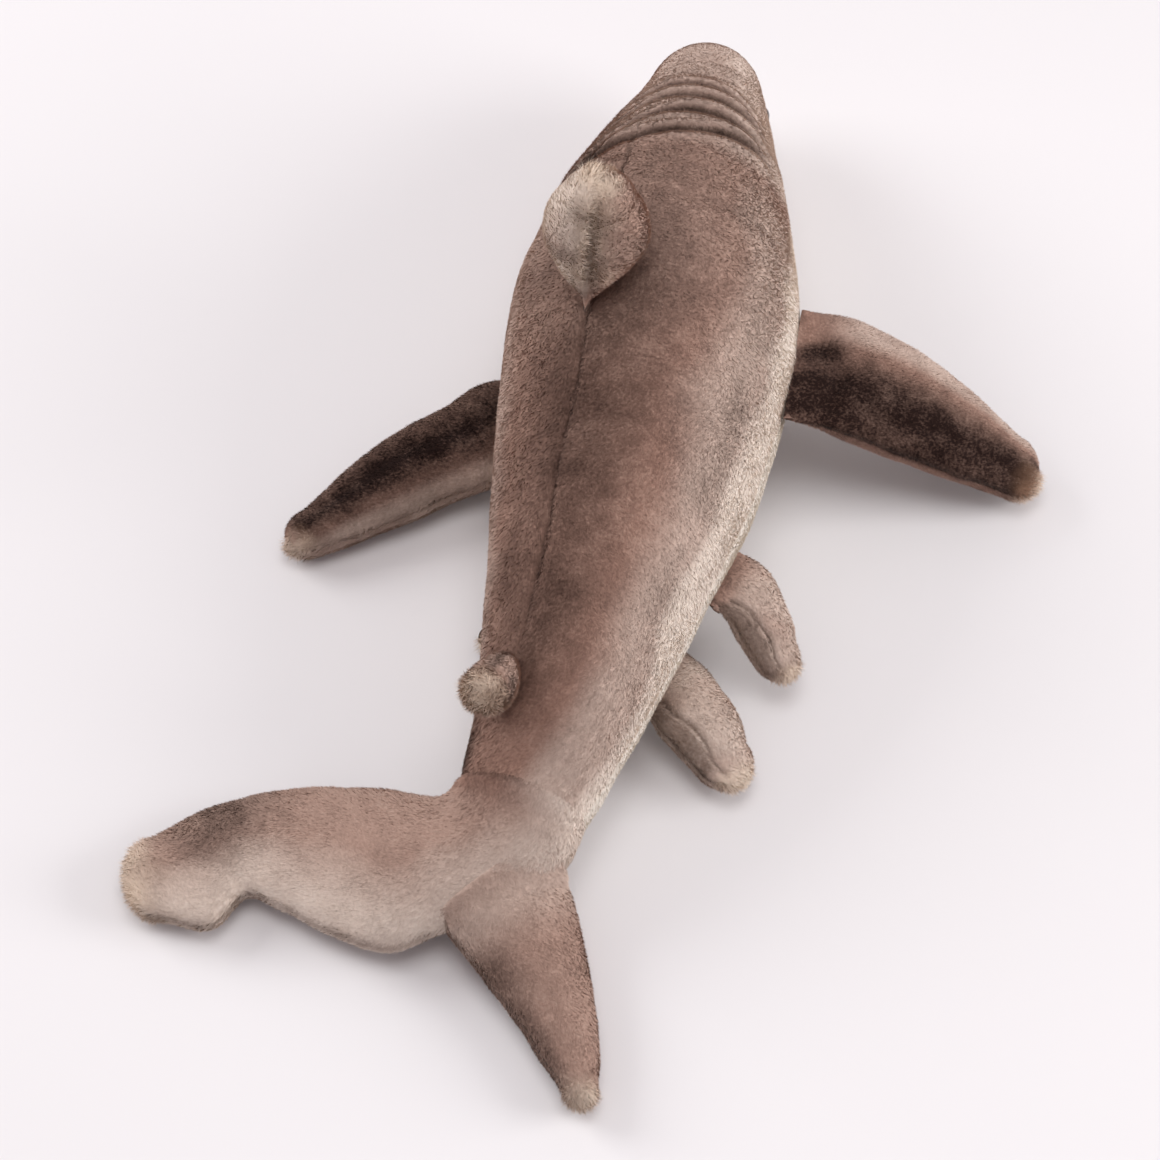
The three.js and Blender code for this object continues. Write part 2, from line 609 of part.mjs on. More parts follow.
const eyes = { left: eyeGroup(-EYE_ANGLE), right: eyeGroup(EYE_ANGLE) };
const placed = (side, geometry) => geometry.applyMatrix4(eyes[side].matrixWorld);
const stemHole = (side) => placed(side, plug(EYE_STEM / 2 + STEM_FIT, 2 * stemEnd, EYE_WIDTH));
const pocketRadius = WASHER_WIDTH / 2 + FILL_GAP;
const washerPocket = (side) => placed(side, plug(pocketRadius, stemEnd - FILL_GAP, EYE_WIDTH));

const rightBack = trunkPanel(backSeam, bellySeam, BACK_SEGMENTS, 90);
const leftBack = trunkPanel((back) => -bellySeam(back), backSeam, BACK_SEGMENTS, -90);
add(shark, "right_back_panel", cut(rightBack, stemHole("right")), brownPlush);
add(shark, "left_back_panel", cut(leftBack, stemHole("left")), brownPlush);
add(shark, "belly_panel", bellyPanel(), creamPlush);
add(shark, "trunk_filling", cut(trunkFilling(), washerPocket("left"), washerPocket("right")), fibreFill);
add(shark, "mouth_lining", mouthLining(), mouthFelt);
add(shark, "teeth", teeth(), toothFelt);

for (const side of ["left", "right"]) {
  shark.add(eyes[side]);
  const hole = EYE_STEM / 2 + STEM_FIT;
  add(eyes[side], `${side}_eye`, eyeShape(), eyePlastic);
  const washer = ringShape(hole, WASHER_WIDTH / 2, washerTop - WASHER_THICK, washerTop);
  add(eyes[side], `${side}_eye_washer`, washer, washerPlastic);
}

addFin("dorsal_fin", ["left", "right"], DORSAL, DORSAL_SEAT);
addFin("second_dorsal_fin", ["left", "right"], SECOND_DORSAL, SECOND_DORSAL_SEAT);

const pectorals = {
  left: {
    ...PECTORAL,
    chord: LEFT_PECTORAL_CHORD,
    sweep: LEFT_PECTORAL_SWEEP,
    sweepShare: LEFT_PECTORAL_SWEEP_SHARE,
  },
  right: { ...PECTORAL, chord: RIGHT_PECTORAL_CHORD, sweep: RIGHT_PECTORAL_SWEEP },
};
const leftPectoralSeat = { back: LEFT_PECTORAL_BACK, angle: -PECTORAL_ANGLE, lean: LEFT_PECTORAL_LEAN };
const rightPectoralSeat = { back: RIGHT_PECTORAL_BACK, angle: PECTORAL_ANGLE, lean: RIGHT_PECTORAL_LEAN };
addFin("left_pectoral", ["under", "top"], pectorals.left, leftPectoralSeat);
addFin("right_pectoral", ["top", "under"], pectorals.right, rightPectoralSeat);

const pelvics = {
  left: { ...PELVIC, thick: LEFT_PELVIC_THICK, sweep: LEFT_PELVIC_SWEEP },
  right: {
    ...PELVIC,
    thick: RIGHT_PELVIC_THICK,
    sweep: RIGHT_PELVIC_SWEEP,
    sweepShare: RIGHT_PELVIC_SWEEP_SHARE,
  },
};
const leftPelvicSeat = {
  back: PELVIC_BACK,
  angle: -PELVIC_ANGLE,
  lean: LEFT_PELVIC_LEAN,
  gap: LEFT_PELVIC_GAP,
};
const rightPelvicSeat = { back: PELVIC_BACK, angle: PELVIC_ANGLE, lean: RIGHT_PELVIC_LEAN };
addFin("left_pelvic", ["under", "top"], pelvics.left, leftPelvicSeat);
addFin("right_pelvic", ["top", "under"], pelvics.right, rightPelvicSeat);
addFin("anal_fin", ["top", "under"], ANAL, ANAL_SEAT);

const tail = new THREE.Group();
const crease = sectionAxes(CREASE_BACK);
tail.setRotationFromMatrix(new THREE.Matrix4().makeBasis(crease.tailward, crease.right, crease.up));
tail.position.copy(spine(CREASE_BACK));
shark.add(tail);

const upper = { ...UPPER_LOBE, outward: 1, sewnToTrunk: true };
const lower = { ...LOWER_LOBE, outward: -1, sewnToTrunk: false };
add(tail, "upper_lobe_top_panel", lobePanel(upper, UPPER_RIBS, 1), brownPlush);
add(tail, "upper_lobe_under_panel", lobePanel(upper, UPPER_RIBS, -1), finPlush);
add(tail, "upper_lobe_filling", lobeSolid(upper, UPPER_RIBS, FIN_PLUSH + FILL_GAP), fibreFill);

// The lower lobe is sewn to the upper one, which cuts it off along their shared seam
const upperWithSeam = lobeSolid(upper, UPPER_RIBS, -SEAM_GAP - LOBE_SEAM_GAP / 2);
add(tail, "lower_lobe_top_panel", cut(lobePanel(lower, LOWER_RIBS, 1), upperWithSeam), brownPlush);
add(tail, "lower_lobe_under_panel", cut(lobePanel(lower, LOWER_RIBS, -1), upperWithSeam), finPlush);
const lowerFilling = lobeSolid(lower, LOWER_RIBS, FIN_PLUSH + FILL_GAP);
add(tail, "lower_lobe_filling", cut(lowerFilling, upperWithSeam), fibreFill);

export default shark;
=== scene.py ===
"""Plush great white shark on a pale studio floor: the finish of every piece, built round the CAD frame.

Shape functions work in millimetres with +Z up, +Y to the snout and +X to the shark's right side, as the
CAD model does. Meshes are in metres. Every cloth surface is a grid of points worked out from two
parameters, and its pile is thousands of single leaning hairs rooted on that grid.
"""
import itertools

import bpy
import numpy as np
from mathutils import Matrix, Vector


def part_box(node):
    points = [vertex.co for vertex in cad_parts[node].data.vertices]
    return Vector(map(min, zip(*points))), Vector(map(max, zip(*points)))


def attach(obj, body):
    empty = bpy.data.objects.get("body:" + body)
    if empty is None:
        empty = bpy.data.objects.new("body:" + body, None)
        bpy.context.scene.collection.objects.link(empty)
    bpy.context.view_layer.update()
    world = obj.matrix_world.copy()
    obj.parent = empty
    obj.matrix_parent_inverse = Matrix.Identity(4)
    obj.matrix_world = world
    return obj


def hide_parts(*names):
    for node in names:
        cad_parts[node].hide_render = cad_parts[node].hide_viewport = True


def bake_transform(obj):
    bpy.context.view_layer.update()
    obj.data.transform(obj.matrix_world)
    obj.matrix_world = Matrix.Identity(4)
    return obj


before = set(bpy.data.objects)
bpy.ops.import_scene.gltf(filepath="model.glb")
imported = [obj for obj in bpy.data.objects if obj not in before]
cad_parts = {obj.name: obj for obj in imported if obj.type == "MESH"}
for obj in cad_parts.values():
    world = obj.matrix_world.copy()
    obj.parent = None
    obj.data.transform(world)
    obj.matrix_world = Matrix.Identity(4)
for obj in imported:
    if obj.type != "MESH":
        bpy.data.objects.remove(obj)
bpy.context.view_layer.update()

MM = 0.001

# Trunk, as in the CAD model
SNOUT_Y = 235
SNOUT_ROUND = 30
CREASE_BACK = 470
ROOT_GAP = 0.4
SWEEP_SHARE = 0.4
# Columns: back from the snout, sideways, height of the middle, half width, half height, roll, belly seam
SIDE, MIDDLE, WIDE, TALL, ROLL, SEAM = range(1, 7)
TRUNK = np.array([
    [0, -3, 45, 25, 24, 28, 150],
    [30, -2, 49, 30.5, 31, 27, 148],
    [75, -1.2, 57, 42.2, 45, 25, 137],
    [135, -2, 64, 58.2, 62, 23, 118],
    [200, -1, 65, 71.5, 68.5, 22, 108],
    [265, 1, 65, 69, 67.5, 24, 108],
    [330, -1, 65, 59, 55, 26, 112],
    [385, -5, 58, 48.5, 45, 29, 118],
    [435, -11, 49, 38, 34, 36, 124],
    [CREASE_BACK, -18, 40, 32, 24, 52, 128],
])

# Fins, as in the CAD model. Columns: along the fin, leading edge, trailing edge, swell
LEAD, TRAIL, SWELL = range(1, 4)
PADDLE = np.array([
    [0, 0.46, -0.56, 0],
    [0.025, 0.48, -0.55, 0.27],
    [0.08, 0.53, -0.52, 0.55],
    [0.2, 0.57, -0.47, 0.86],
    [0.42, 0.56, -0.41, 1],
    [0.65, 0.46, -0.35, 0.93],
    [0.88, 0.26, -0.26, 0.72],
])
LEAF = np.array([
    [0, 0.42, -0.5, 0],
    [0.05, 0.46, -0.5, 0.36],
    [0.14, 0.49, -0.48, 0.66],
    [0.34, 0.51, -0.4, 0.95],
    [0.6, 0.45, -0.37, 1],
    [0.8, 0.3, -0.37, 0.84],
])
CREST = np.array([
    [0, 0.5, -0.5, 0],
    [0.045, 0.5, -0.5, 0.2],
    [0.12, 0.48, -0.49, 0.47],
    [0.24, 0.43, -0.47, 0.82],
    [0.4, 0.36, -0.44, 1],
    [0.58, 0.27, -0.4, 0.93],
    [0.76, 0.16, -0.34, 0.7],
])

# Tail lobes, as in the CAD model. Columns: along the lobe, leading edge back and right, trailing edge
# back and right, drop, swell
LEAD_X, LEAD_Y, TRAIL_X, TRAIL_Y, DROP, LOBE_SWELL = range(1, 7)
TAIL_DROP = 29
UPPER_RIBS = np.array([
    [0, 0, -0.192, 0, 0.186, 0, 1],
    [0.12, 0.03, -0.22, 0.2, 0.175, 0.24, 0.95],
    [0.24, 0.03, -0.25, 0.455, 0.06, 0.46, 0.9],
    [0.36, 0.02, -0.3, 0.64, -0.08, 0.64, 0.84],
    [0.48, 0.03, -0.41, 0.79, -0.18, 0.76, 0.78],
    [0.62, 0.1, -0.56, 0.805, -0.34, 0.83, 0.71],
    [0.74, 0.19, -0.69, 0.765, -0.51, 0.88, 0.64],
    [0.84, 0.3, -0.79, 0.76, -0.63, 0.92, 0.58],
    [0.92, 0.45, -0.88, 0.96, -0.68, 0.93, 0.57],
    [1, 0.63, -0.96, 1, -0.82, 0.96, 0.52],
])
LOWER_RIBS = np.array([
    [0, 0.08, 0.24, 0.54, -0.22, 0.62, 0.9],
    [0.22, 0.22, 0.44, 0.62, -0.01, 0.74, 1],
    [0.44, 0.4, 0.62, 0.72, 0.22, 0.83, 0.94],
    [0.66, 0.61, 0.8, 0.82, 0.45, 0.91, 0.78],
    [0.84, 0.79, 0.935, 0.91, 0.62, 0.96, 0.68],
    [1, 0.92, 1, 1, 0.79, 1, 0.6],
])

# Cloth and pile
SKIN_INSET = 1.5  # the backing lies this far inside the CAD skin, so that the pile fills up to it
CLOTH = 1.4  # thickness of the backing
PILE = 2.1  # length of a hair
LEAN = 60  # of the hairs from upright, degrees
ROLL_RANGE = 68  # a hair's flat side turns this far to either side, degrees
HAIR_WIDTH = 0.4
FLOOR_CLEAR = 0.25  # hairs stay this far above the floor
HAIR_UV = 0.0012  # size of a hair's patch in the map for baking
SWELL_FRAMES = 12  # steps of the cloth simulation
SWELL_CAP = 2.2  # furthest that the filling may press the cloth out
FILL_PRESSURE = 4
CLOTH_QUALITY = 4  # substeps of each step
CLOTH_MASS = 0.0005
STRETCH_STIFFNESS = 5
SHEAR_STIFFNESS = 3
BEND_STIFFNESS = 0.05

# Hairs
STRAY = 0.3  # how far hairs stray from the brushed way
FLUFF_STRAY = 0.6  # and how much further in the fluff
LEAN_SPREAD = 8  # degrees
FLUFF_UPRIGHT = 22  # fluff stands this many degrees more upright
FLUFF_LONGER = 1.9  # fluff is longer by this share of its length
FACE_SHADING = 0.1  # share of a hair's own face in its shading normal
STROKE_SHADING = 0.16  # share of the brushed way in it
ROOT_DEPTH = 0.3  # place of a hair's root between backing and tip, for its painted shade deep in the pile
BACKING_DEPTH = 0.45  # the same for the backing between the hairs

# Map for baking: margins round the outer side, and the strip that the inner side takes
MAP_LOW = 0.02
MAP_RIGHT = 0.98
MAP_TOP = 0.93
MAP_INNER = 0.985
MAP_INNER_SHARE = 0.03

# Head folds. Columns: angle round the head from the back seam, then the station of each fold there
FOLD_LINES = np.array([
    [-60, 106, 130, 144, 146],
    [-40, 96, 121, 137, 141],
    [-20, 83, 107, 127, 136],
    [0, 75, 92, 112, 131],
    [22, 74, 88, 105, 126],
    [47, 75, 89, 104, 119],
    [70, 84, 94, 108, 118],
    [95, 98, 104, 114, 121],
])
FOLD_DEPTH = 2.8
FOLD_WIDTH = 2.6
# Painted shade in the folds: how dark, how far ahead of a fold and how wide
FOLD_SHADE = 1.0
FOLD_SHADE_AHEAD = 1.6  # the painted shade lies this far before the middle of a fold, on the wall that shows
FOLD_SHADE_WIDTH = 2.9
RIDGE_SHARE, RIDGE_OFF, RIDGE_WIDTH = 0.45, 6.5, 3.2  # the cloth bulges on both sides of a fold
FAINT_FOLDS = [(42, 0.5), (58, 0.6), (174, 0.9)]  # station, and how deep it is pressed

# Seams: depth and width of the stitched groove, and of the wide valley beside the back seam
BACK_GROOVE, BACK_GROOVE_WIDTH = 1.3, 2.0
BACK_VALLEY, BACK_VALLEY_WIDTH = 0.9, 9
BELLY_GROOVE, BELLY_GROOVE_WIDTH = 0.8, 2.6
EDGE_GROOVE_WIDTH = 2.4
EDGE_SHADE_WIDTH = 3.0

# Rows of the trunk's grid: close together on the head and before the tail
FINE_STEP, COARSE_STEP = 1.5, 3.2
HEAD_ROWS_END, BODY_ROWS_START, BODY_ROWS_END = 152, 154, 440

lattice_size = 32
lattice = np.random.default_rng(5).random((lattice_size,) * 3)


def noise(points, size, seed=0):
    """Value noise from -1 to 1: random values on a lattice of that size, eased between its corners."""
    place = points / size + 9.7 * seed + 100
    cell = np.floor(place).astype(int)
    t = place - cell
    t = t * t * (3 - 2 * t)
    total = np.zeros(points.shape[:-1])
    for corner in itertools.product((0, 1), repeat=3):
        at = (cell + corner) % lattice_size
        share = np.where(corner, t, 1 - t).prod(axis=-1)
        total += share * lattice[at[..., 0], at[..., 1], at[..., 2]]
    return 2 * total - 1


def ease(value, low, high):
    """0 below low, 1 above high, and a smooth S between them."""
    t = np.clip((value - low) / (high - low), 0, 1)
    return t * t * (3 - 2 * t)


def bell(value, width):
    """1 at zero, falling off on both sides as exp(-(value / width) squared)."""
    return np.exp(-np.square(value / width))


def unit(vectors):
    """Vectors brought to length 1."""
    return vectors / np.maximum(np.linalg.norm(vectors, axis=-1, keepdims=True), 1e-12)


def smooth(rows, column, at):
    """Cubic through a table's rows, with each row's slope taken from the rows on both sides of it."""
    places, values = rows[:, 0], rows[:, column]
    row = np.arange(len(rows))
    before, after = np.maximum(row - 1, 0), np.minimum(row + 1, len(rows) - 1)
    slopes = (values[after] - values[before]) / (places[after] - places[before])
    first = np.searchsorted(places[1:-1], at, side="left")
    step = places[first + 1] - places[first]
    t = (at - places[first]) / step
    rise = t * t * (3 - 2 * t)
    leave = t * (1 - t) ** 2 * step * slopes[first]
    arrive = t * t * (1 - t) * step * slopes[first + 1]
    return values[first] * (1 - rise) + values[first + 1] * rise + leave - arrive


# The trunk


def section_right(back):
    """Unit vector to the right of the trunk's upright section: up crossed with the way to the tail."""
    ahead, behind = np.clip(back - 1, 0, CREASE_BACK), np.clip(back + 1, 0, CREASE_BACK)
    aside = smooth(TRUNK, SIDE, behind) - smooth(TRUNK, SIDE, ahead)
    return unit(np.stack([behind - ahead, aside, np.zeros_like(aside)], -1))


def trunk_point(back, angle, inset):
    """An ellipse carried along the spine, drawn in by inset. Its angle runs from the back seam down the
    right side. A quarter ellipse shuts the snout, and the belly is pressed flat on the floor."""
    back, angle, inset = np.broadcast_arrays(np.asarray(back, float), angle, inset)
    within = 1 - np.clip((back - inset) / (SNOUT_ROUND - inset), 0, 1)
    shut = np.sqrt(1 - within * within)
    station = np.clip(back, 0, CREASE_BACK)
    turn = np.radians(angle - smooth(TRUNK, ROLL, station))
    sideways = (smooth(TRUNK, WIDE, station) - inset) * shut * np.sin(turn)
    upward = (smooth(TRUNK, TALL, station) - inset) * shut * np.cos(turn)
    spine = np.stack([smooth(TRUNK, SIDE, station), SNOUT_Y - back, smooth(TRUNK, MIDDLE, station)], -1)
    point = spine + section_right(station) * sideways[..., None]
    point[..., 2] = np.maximum(point[..., 2] + upward, inset)
    return point


def skin_axes(back, angle):
    """A point of the trunk's skin and three axes there: forward along it, round it, and out of it."""
    point = trunk_point(back, angle, 0.0)
    fore = unit(trunk_point(back - 1, angle, 0.0) - trunk_point(back + 1, angle, 0.0))
    around = trunk_point(back, angle + 1, 0.0) - trunk_point(back, angle - 1, 0.0)
    around = unit(around - fore * (around * fore).sum(-1, keepdims=True))
    return point, fore, around, np.cross(around, fore)


def grid_normals(points, closed):
    """Unit normals of a grid: the way along the rows crossed with the way along the columns. A closed
    grid's last column is its first one again."""
    along = np.gradient(points, axis=0)
    if closed:
        ring = points[:, :-1]
        across = np.roll(ring, -1, 1) - np.roll(ring, 1, 1)
        across = np.concatenate([across, across[:, :1]], 1)
    else:
        across = np.gradient(points, axis=1)
    normals = np.cross(along, across)
    middle = points.mean(axis=1, keepdims=True)
    outward = np.sign((normals * (points - middle)).sum())
    return unit(normals * outward)


def swollen(points, sewn):
    """Cloth pressed out by its filling: the closed grid is a cloth sheet under even pressure, without
    gravity, held where it is sewn. No point moves further than the cap, and the movement is evened out
    along the rows and columns."""
    scene = bpy.context.scene
    rows, ring = points.shape[0], points.shape[1] - 1
    start = points[:, :-1] * MM
    first = np.arange(rows - 1)[:, None] * ring
    here, beside = np.arange(ring)[None], np.roll(np.arange(ring), -1)[None]
    a, b = (first + here).ravel(), (first + beside).ravel()
    faces = np.stack([a, b, b + ring, a + ring], -1)
    flat = start.reshape(-1, 3)
    middle = flat.mean(axis=0)
    face_way = np.cross(flat[faces[:, 1]] - flat[faces[:, 0]], flat[faces[:, 3]] - flat[faces[:, 0]])
    if (face_way * (flat[faces[:, 0]] - middle)).sum() < 0:
        faces = faces[:, ::-1]
    mesh = bpy.data.meshes.new("swelling")
    mesh.from_pydata(flat.tolist(), [], faces.tolist())
    piece = bpy.data.objects.new("swelling", mesh)
    scene.collection.objects.link(piece)
    held = piece.vertex_groups.new(name="sewn")
    held.add(np.flatnonzero(sewn[:, :-1]).tolist(), 1.0, "REPLACE")
    cloth = piece.modifiers.new("filling", "CLOTH").settings
    cloth.quality = CLOTH_QUALITY
    cloth.mass = CLOTH_MASS
    cloth.use_pressure = True
    cloth.uniform_pressure_force = FILL_PRESSURE
    cloth.tension_stiffness = STRETCH_STIFFNESS
    cloth.compression_stiffness = STRETCH_STIFFNESS
    cloth.shear_stiffness = SHEAR_STIFFNESS
    cloth.bending_stiffness = BEND_STIFFNESS
    cloth.effector_weights.gravity = 0
    cloth.vertex_group_mass = held.name
    for step in range(1, SWELL_FRAMES + 1):
        scene.frame_set(step)
    moved = np.empty(flat.size, np.float32)
    piece.evaluated_get(bpy.context.evaluated_depsgraph_get()).data.vertices.foreach_get("co", moved)
    scene.frame_set(1)
    bpy.data.objects.remove(piece)
    bpy.data.meshes.remove(mesh)
    shift = (moved.reshape(start.shape) - start) / MM
    shift[1:-1] = (shift[:-2] + 2 * shift[1:-1] + shift[2:]) / 4
    shift = (np.roll(shift, 1, 1) + 2 * shift + np.roll(shift, -1, 1)) / 4
    far = np.linalg.norm(shift, axis=-1, keepdims=True)
    shift = shift * np.minimum(1, SWELL_CAP / np.maximum(far, 1e-9))
    return points + np.concatenate([shift, shift[:, :1]], 1)


NEAR_SQUARE = 5  # spread of the bell, in square millimetres
NEAR_LEAST = 0.3  # sum of weights below which nothing lies near
FAR_BELOW = -1000


def height_over(places, surface):
    """Height of a surface over other places: its points' heights, weighted by a bell of their distance seen
    from above. It lies far below where the surface has no points."""
    flat = surface.reshape(-1, 3)
    apart = np.square(places[..., :1] - flat[:, 0]) + np.square(places[..., 1:2] - flat[:, 1])
    share = np.exp(-apart / NEAR_SQUARE)
    total = share.sum(-1)
    height = share @ flat[:, 2] / np.maximum(total, 1e-9)
    return np.where(total > NEAR_LEAST, height, FAR_BELOW)


def crowded(count):
    """Shares from 0 to 1 that lie about seven times closer together at both ends than in the middle."""
    t = np.linspace(0, 1, count + 1)
    return t - 0.12 * np.sin(2 * np.pi * t)


# Pile and meshes


def at_cells(grid, row, column, u, v):
    """Values between a grid's points, mixed from the four corners of their cells."""
    if grid.ndim == 3:
        u, v = u[:, None], v[:, None]
    near = grid[row, column] * (1 - v) + grid[row, column + 1] * v
    far = grid[row + 1, column] * (1 - v) + grid[row + 1, column + 1] * v
    return near * (1 - u) + far * u


def comb_field(points, normals, wander):
    """The way the pile is brushed: down the rows of the grid, turned by slow and quick noise."""
    down = unit(np.gradient(points, axis=0))
    down = unit(down - normals * (down * normals).sum(-1, keepdims=True))
    aside = np.cross(normals, down)
    turn = wander * (0.75 * noise(points, 34, 1) + 0.5 * noise(points, 9, 2))[..., None]
    return down * np.cos(turn) + aside * np.sin(turn)


def hairs(cloth, density, seed):
    """Single hairs on a grid of cloth. Cells are drawn by their area, a root lies anywhere in its cell, and
    the hair leans from the normal along the brushed way. Each is one narrow triangle with its face out."""
    rng = np.random.default_rng(seed)
    points = cloth["points"]
    edge_u = points[1:, :-1] - points[:-1, :-1]
    edge_v = points[:-1, 1:] - points[:-1, :-1]
    area = np.linalg.norm(np.cross(edge_u, edge_v), axis=-1)
    weight = area * cloth["length"][:-1, :-1].clip(0, 1)
    total = np.cumsum(weight.ravel())
    count = int(total[-1] * density)
    cell = np.searchsorted(total, rng.random(count) * total[-1])
    row, column = np.divmod(cell, area.shape[1])
    u, v = rng.random(count), rng.random(count)
    take = lambda grid: at_cells(grid, row, column, u, v)
    root, normal = take(points), unit(take(cloth["normals"]))
    fluff = take(cloth["fluff"])[:, None]
    brushed = unit(take(cloth["comb"]))
    way = brushed + rng.normal(0, 1, (count, 3)) * (STRAY + FLUFF_STRAY * fluff)
    way = unit(way - normal * (way * normal).sum(-1, keepdims=True))
    lean = np.radians(LEAN + rng.normal(0, LEAN_SPREAD, (count, 1)) - FLUFF_UPRIGHT * fluff)
    along = normal * np.cos(lean) + way * np.sin(lean)
    length = take(cloth["length"])[:, None] * PILE * rng.uniform(0.7, 1.15, (count, 1))
    length = length * (1 + FLUFF_LONGER * fluff)
    level = unit(np.cross(along, normal))
    roll = np.radians(rng.uniform(-ROLL_RANGE, ROLL_RANGE, (count, 1)))
    flat = level * np.cos(roll) + np.cross(along, level) * np.sin(roll)
    aside = flat * HAIR_WIDTH * rng.uniform(0.35, 0.65, (count, 1))
    tip = root + along * length
    corners = np.stack([root - aside, root + aside, tip], 1)
    corners[..., 2] = np.maximum(corners[..., 2], FLOOR_CLEAR)
    face = unit(np.cross(aside, along))
    stroke = brushed * (0.4 + rng.random((count, 1)))
    shading = unit(normal + FACE_SHADING * face + STROKE_SHADING * stroke)
    place = np.stack([take(cloth["map_u"]), take(cloth["map_v"])], -1)
    spread = np.array([[-0.5, -0.5], [0.5, -0.5], [0, 0.5]]) * HAIR_UV
    marks = {key: np.repeat(take(cloth[key]), 3) for key in ("shade", "tone", "fluff")}
    marks["depth"] = np.tile([ROOT_DEPTH, ROOT_DEPTH, 1.0], count)
    marks["fleck"] = np.repeat(rng.random(count), 3)
    return {
        "points": corners.reshape(-1, 3),
        "normals": np.repeat(shading, 3, 0),
        "triangles": np.arange(3 * count).reshape(-1, 3),
        "corner_uv": (place[:, None] + spread).reshape(-1, 2),
        "marks": marks,
    }


def cell_faces(rows, columns, offset=0):
    """Two triangles for each cell of a grid of points numbered row by row."""
    first = (np.arange(rows - 1)[:, None] * columns + np.arange(columns - 1)).ravel() + offset
    quads = np.stack([first, first + 1, first + columns + 1, first + columns], -1)
    return np.concatenate([quads[:, [0, 1, 2]], quads[:, [0, 2, 3]]])


def shell(cloth):
    """A sheet of cloth: its outer grid, an inner grid one thickness below, and a rim round the edges."""
    points, normals = cloth["points"], cloth["normals"]
    rows, columns = points.shape[:2]
    inner = points - normals * cloth["thick"][..., None]
    inner[..., 2] = np.maximum(inner[..., 2], points[..., 2].clip(None, SKIN_INSET))
    count = rows * columns
    number = np.arange(count).reshape(rows, columns)
    rim = np.concatenate([number[0], number[1:, -1], number[-1, -2::-1], number[-2:0:-1, 0]])
    after = np.roll(rim, -1)
    outer_faces = cell_faces(rows, columns)
    sample = outer_faces[len(outer_faces) // 4]
    a, b, c = points.reshape(-1, 3)[sample]
    facing = np.dot(np.cross(b - a, c - a), normals.reshape(-1, 3)[sample[0]])
    inner_faces = outer_faces[:, ::-1] + count
    rim_faces = np.concatenate([
        np.stack([rim, rim + count, after], -1),
        np.stack([after, rim + count, after + count], -1),
    ])
    triangles = np.concatenate([outer_faces, inner_faces, rim_faces])
    if facing < 0:
        triangles = triangles[:, ::-1]
    map_outer = np.stack([cloth["map_u"], cloth["map_v"]], -1).reshape(-1, 2)
    inner_v = MAP_INNER - MAP_INNER_SHARE * cloth["map_v"]
    map_inner = np.stack([cloth["map_u"], inner_v], -1).reshape(-1, 2)
    marks = {key: np.tile(cloth[key].ravel(), 2) for key in ("shade", "tone", "fluff")}
    marks["depth"] = np.full(2 * count, BACKING_DEPTH)
    marks["fleck"] = np.full(2 * count, 0.5)
    return {
        "points": np.concatenate([points.reshape(-1, 3), inner.reshape(-1, 3)]),
        "normals": np.concatenate([normals.reshape(-1, 3), -normals.reshape(-1, 3)]),
        "triangles": triangles,
        "corner_uv": np.concatenate([map_outer, map_inner])[triangles.ravel()],
        "marks": marks,
    }


def joined(parts):
    """Several meshes' arrays as one."""
    starts = np.cumsum([0] + [len(part["points"]) for part in parts[:-1]])
    merge = lambda key: np.concatenate([part[key] for part in parts])
    made = {key: merge(key) for key in ("points", "normals", "corner_uv")}
    made["triangles"] = np.concatenate([part["triangles"] + s for part, s in zip(parts, starts)])
    made["marks"] = {
        key: np.concatenate([part["marks"][key] for part in parts]) for key in parts[0]["marks"]
    }
    return made


def to_object(name, made, material):
    """A mesh object at the origin from arrays in millimetres, with its normals, marks and bake map."""
    mesh = bpy.data.meshes.new(name)
    triangles = made["triangles"]
    mesh.vertices.add(len(made["points"]))
    mesh.vertices.foreach_set("co", (made["points"] * MM).astype(np.float32).ravel())
    mesh.loops.add(triangles.size)
    mesh.loops.foreach_set("vertex_index", triangles.astype(np.int32).ravel())
    mesh.polygons.add(len(triangles))
    mesh.polygons.foreach_set("loop_start", np.arange(0, triangles.size, 3, dtype=np.int32))
    mesh.update(calc_edges=True)
    if "corner_uv" in made:
        bake_map = mesh.uv_layers.new(name="OFBake")
        bake_map.data.foreach_set("uv", made["corner_uv"].astype(np.float32).ravel())
    for key, values in made.get("marks", {}).items():
        mark = mesh.attributes.new(key, "FLOAT", "POINT")
        mark.data.foreach_set("value", values.astype(np.float32))
    mesh.shade_smooth()
    if "normals" in made:
        mesh.normals_split_custom_set_from_vertices(made["normals"].astype(np.float32))
    mesh.materials.append(material)
    piece = bpy.data.objects.new(name, mesh)
    bpy.context.scene.collection.objects.link(piece)
    return piece


def make_cover(name, cloth, density, seed, material):
    """One plush panel: its backing shell and its pile in one mesh."""
    return to_object(name, joined([shell(cloth), hairs(cloth, density, seed)]), material)


def with_map(cloth):
    """Adds the bake map of a grid, with a margin, and the backing's thickness where none is given."""
    rows, columns = cloth["points"].shape[:2]
    up, along = np.linspace(MAP_LOW, MAP_TOP, rows), np.linspace(MAP_LOW, MAP_RIGHT, columns)
    v, u = np.meshgrid(up, along, indexing="ij")
    cloth.update(map_u=u, map_v=v)
    cloth.setdefault("thick", np.full((rows, columns), CLOTH))
    return cloth


def part_of(cloth, first, last):
    """The columns of a grid from first to last, as a panel of its own."""
    panel = {key: grid[:, first:last + 1].copy() for key, grid in cloth.items()}
    return with_map(panel)


# Materials


def linear(hex_colour):
    """Scene colour of an sRGB hex code."""
    code = np.array([int(hex_colour[i:i + 2], 16) for i in (1, 3, 5)]) / 255
    flat = np.where(code <= 0.04045, code / 12.92, ((code + 0.055) / 1.055) ** 2.4)
    return (*flat, 1.0)


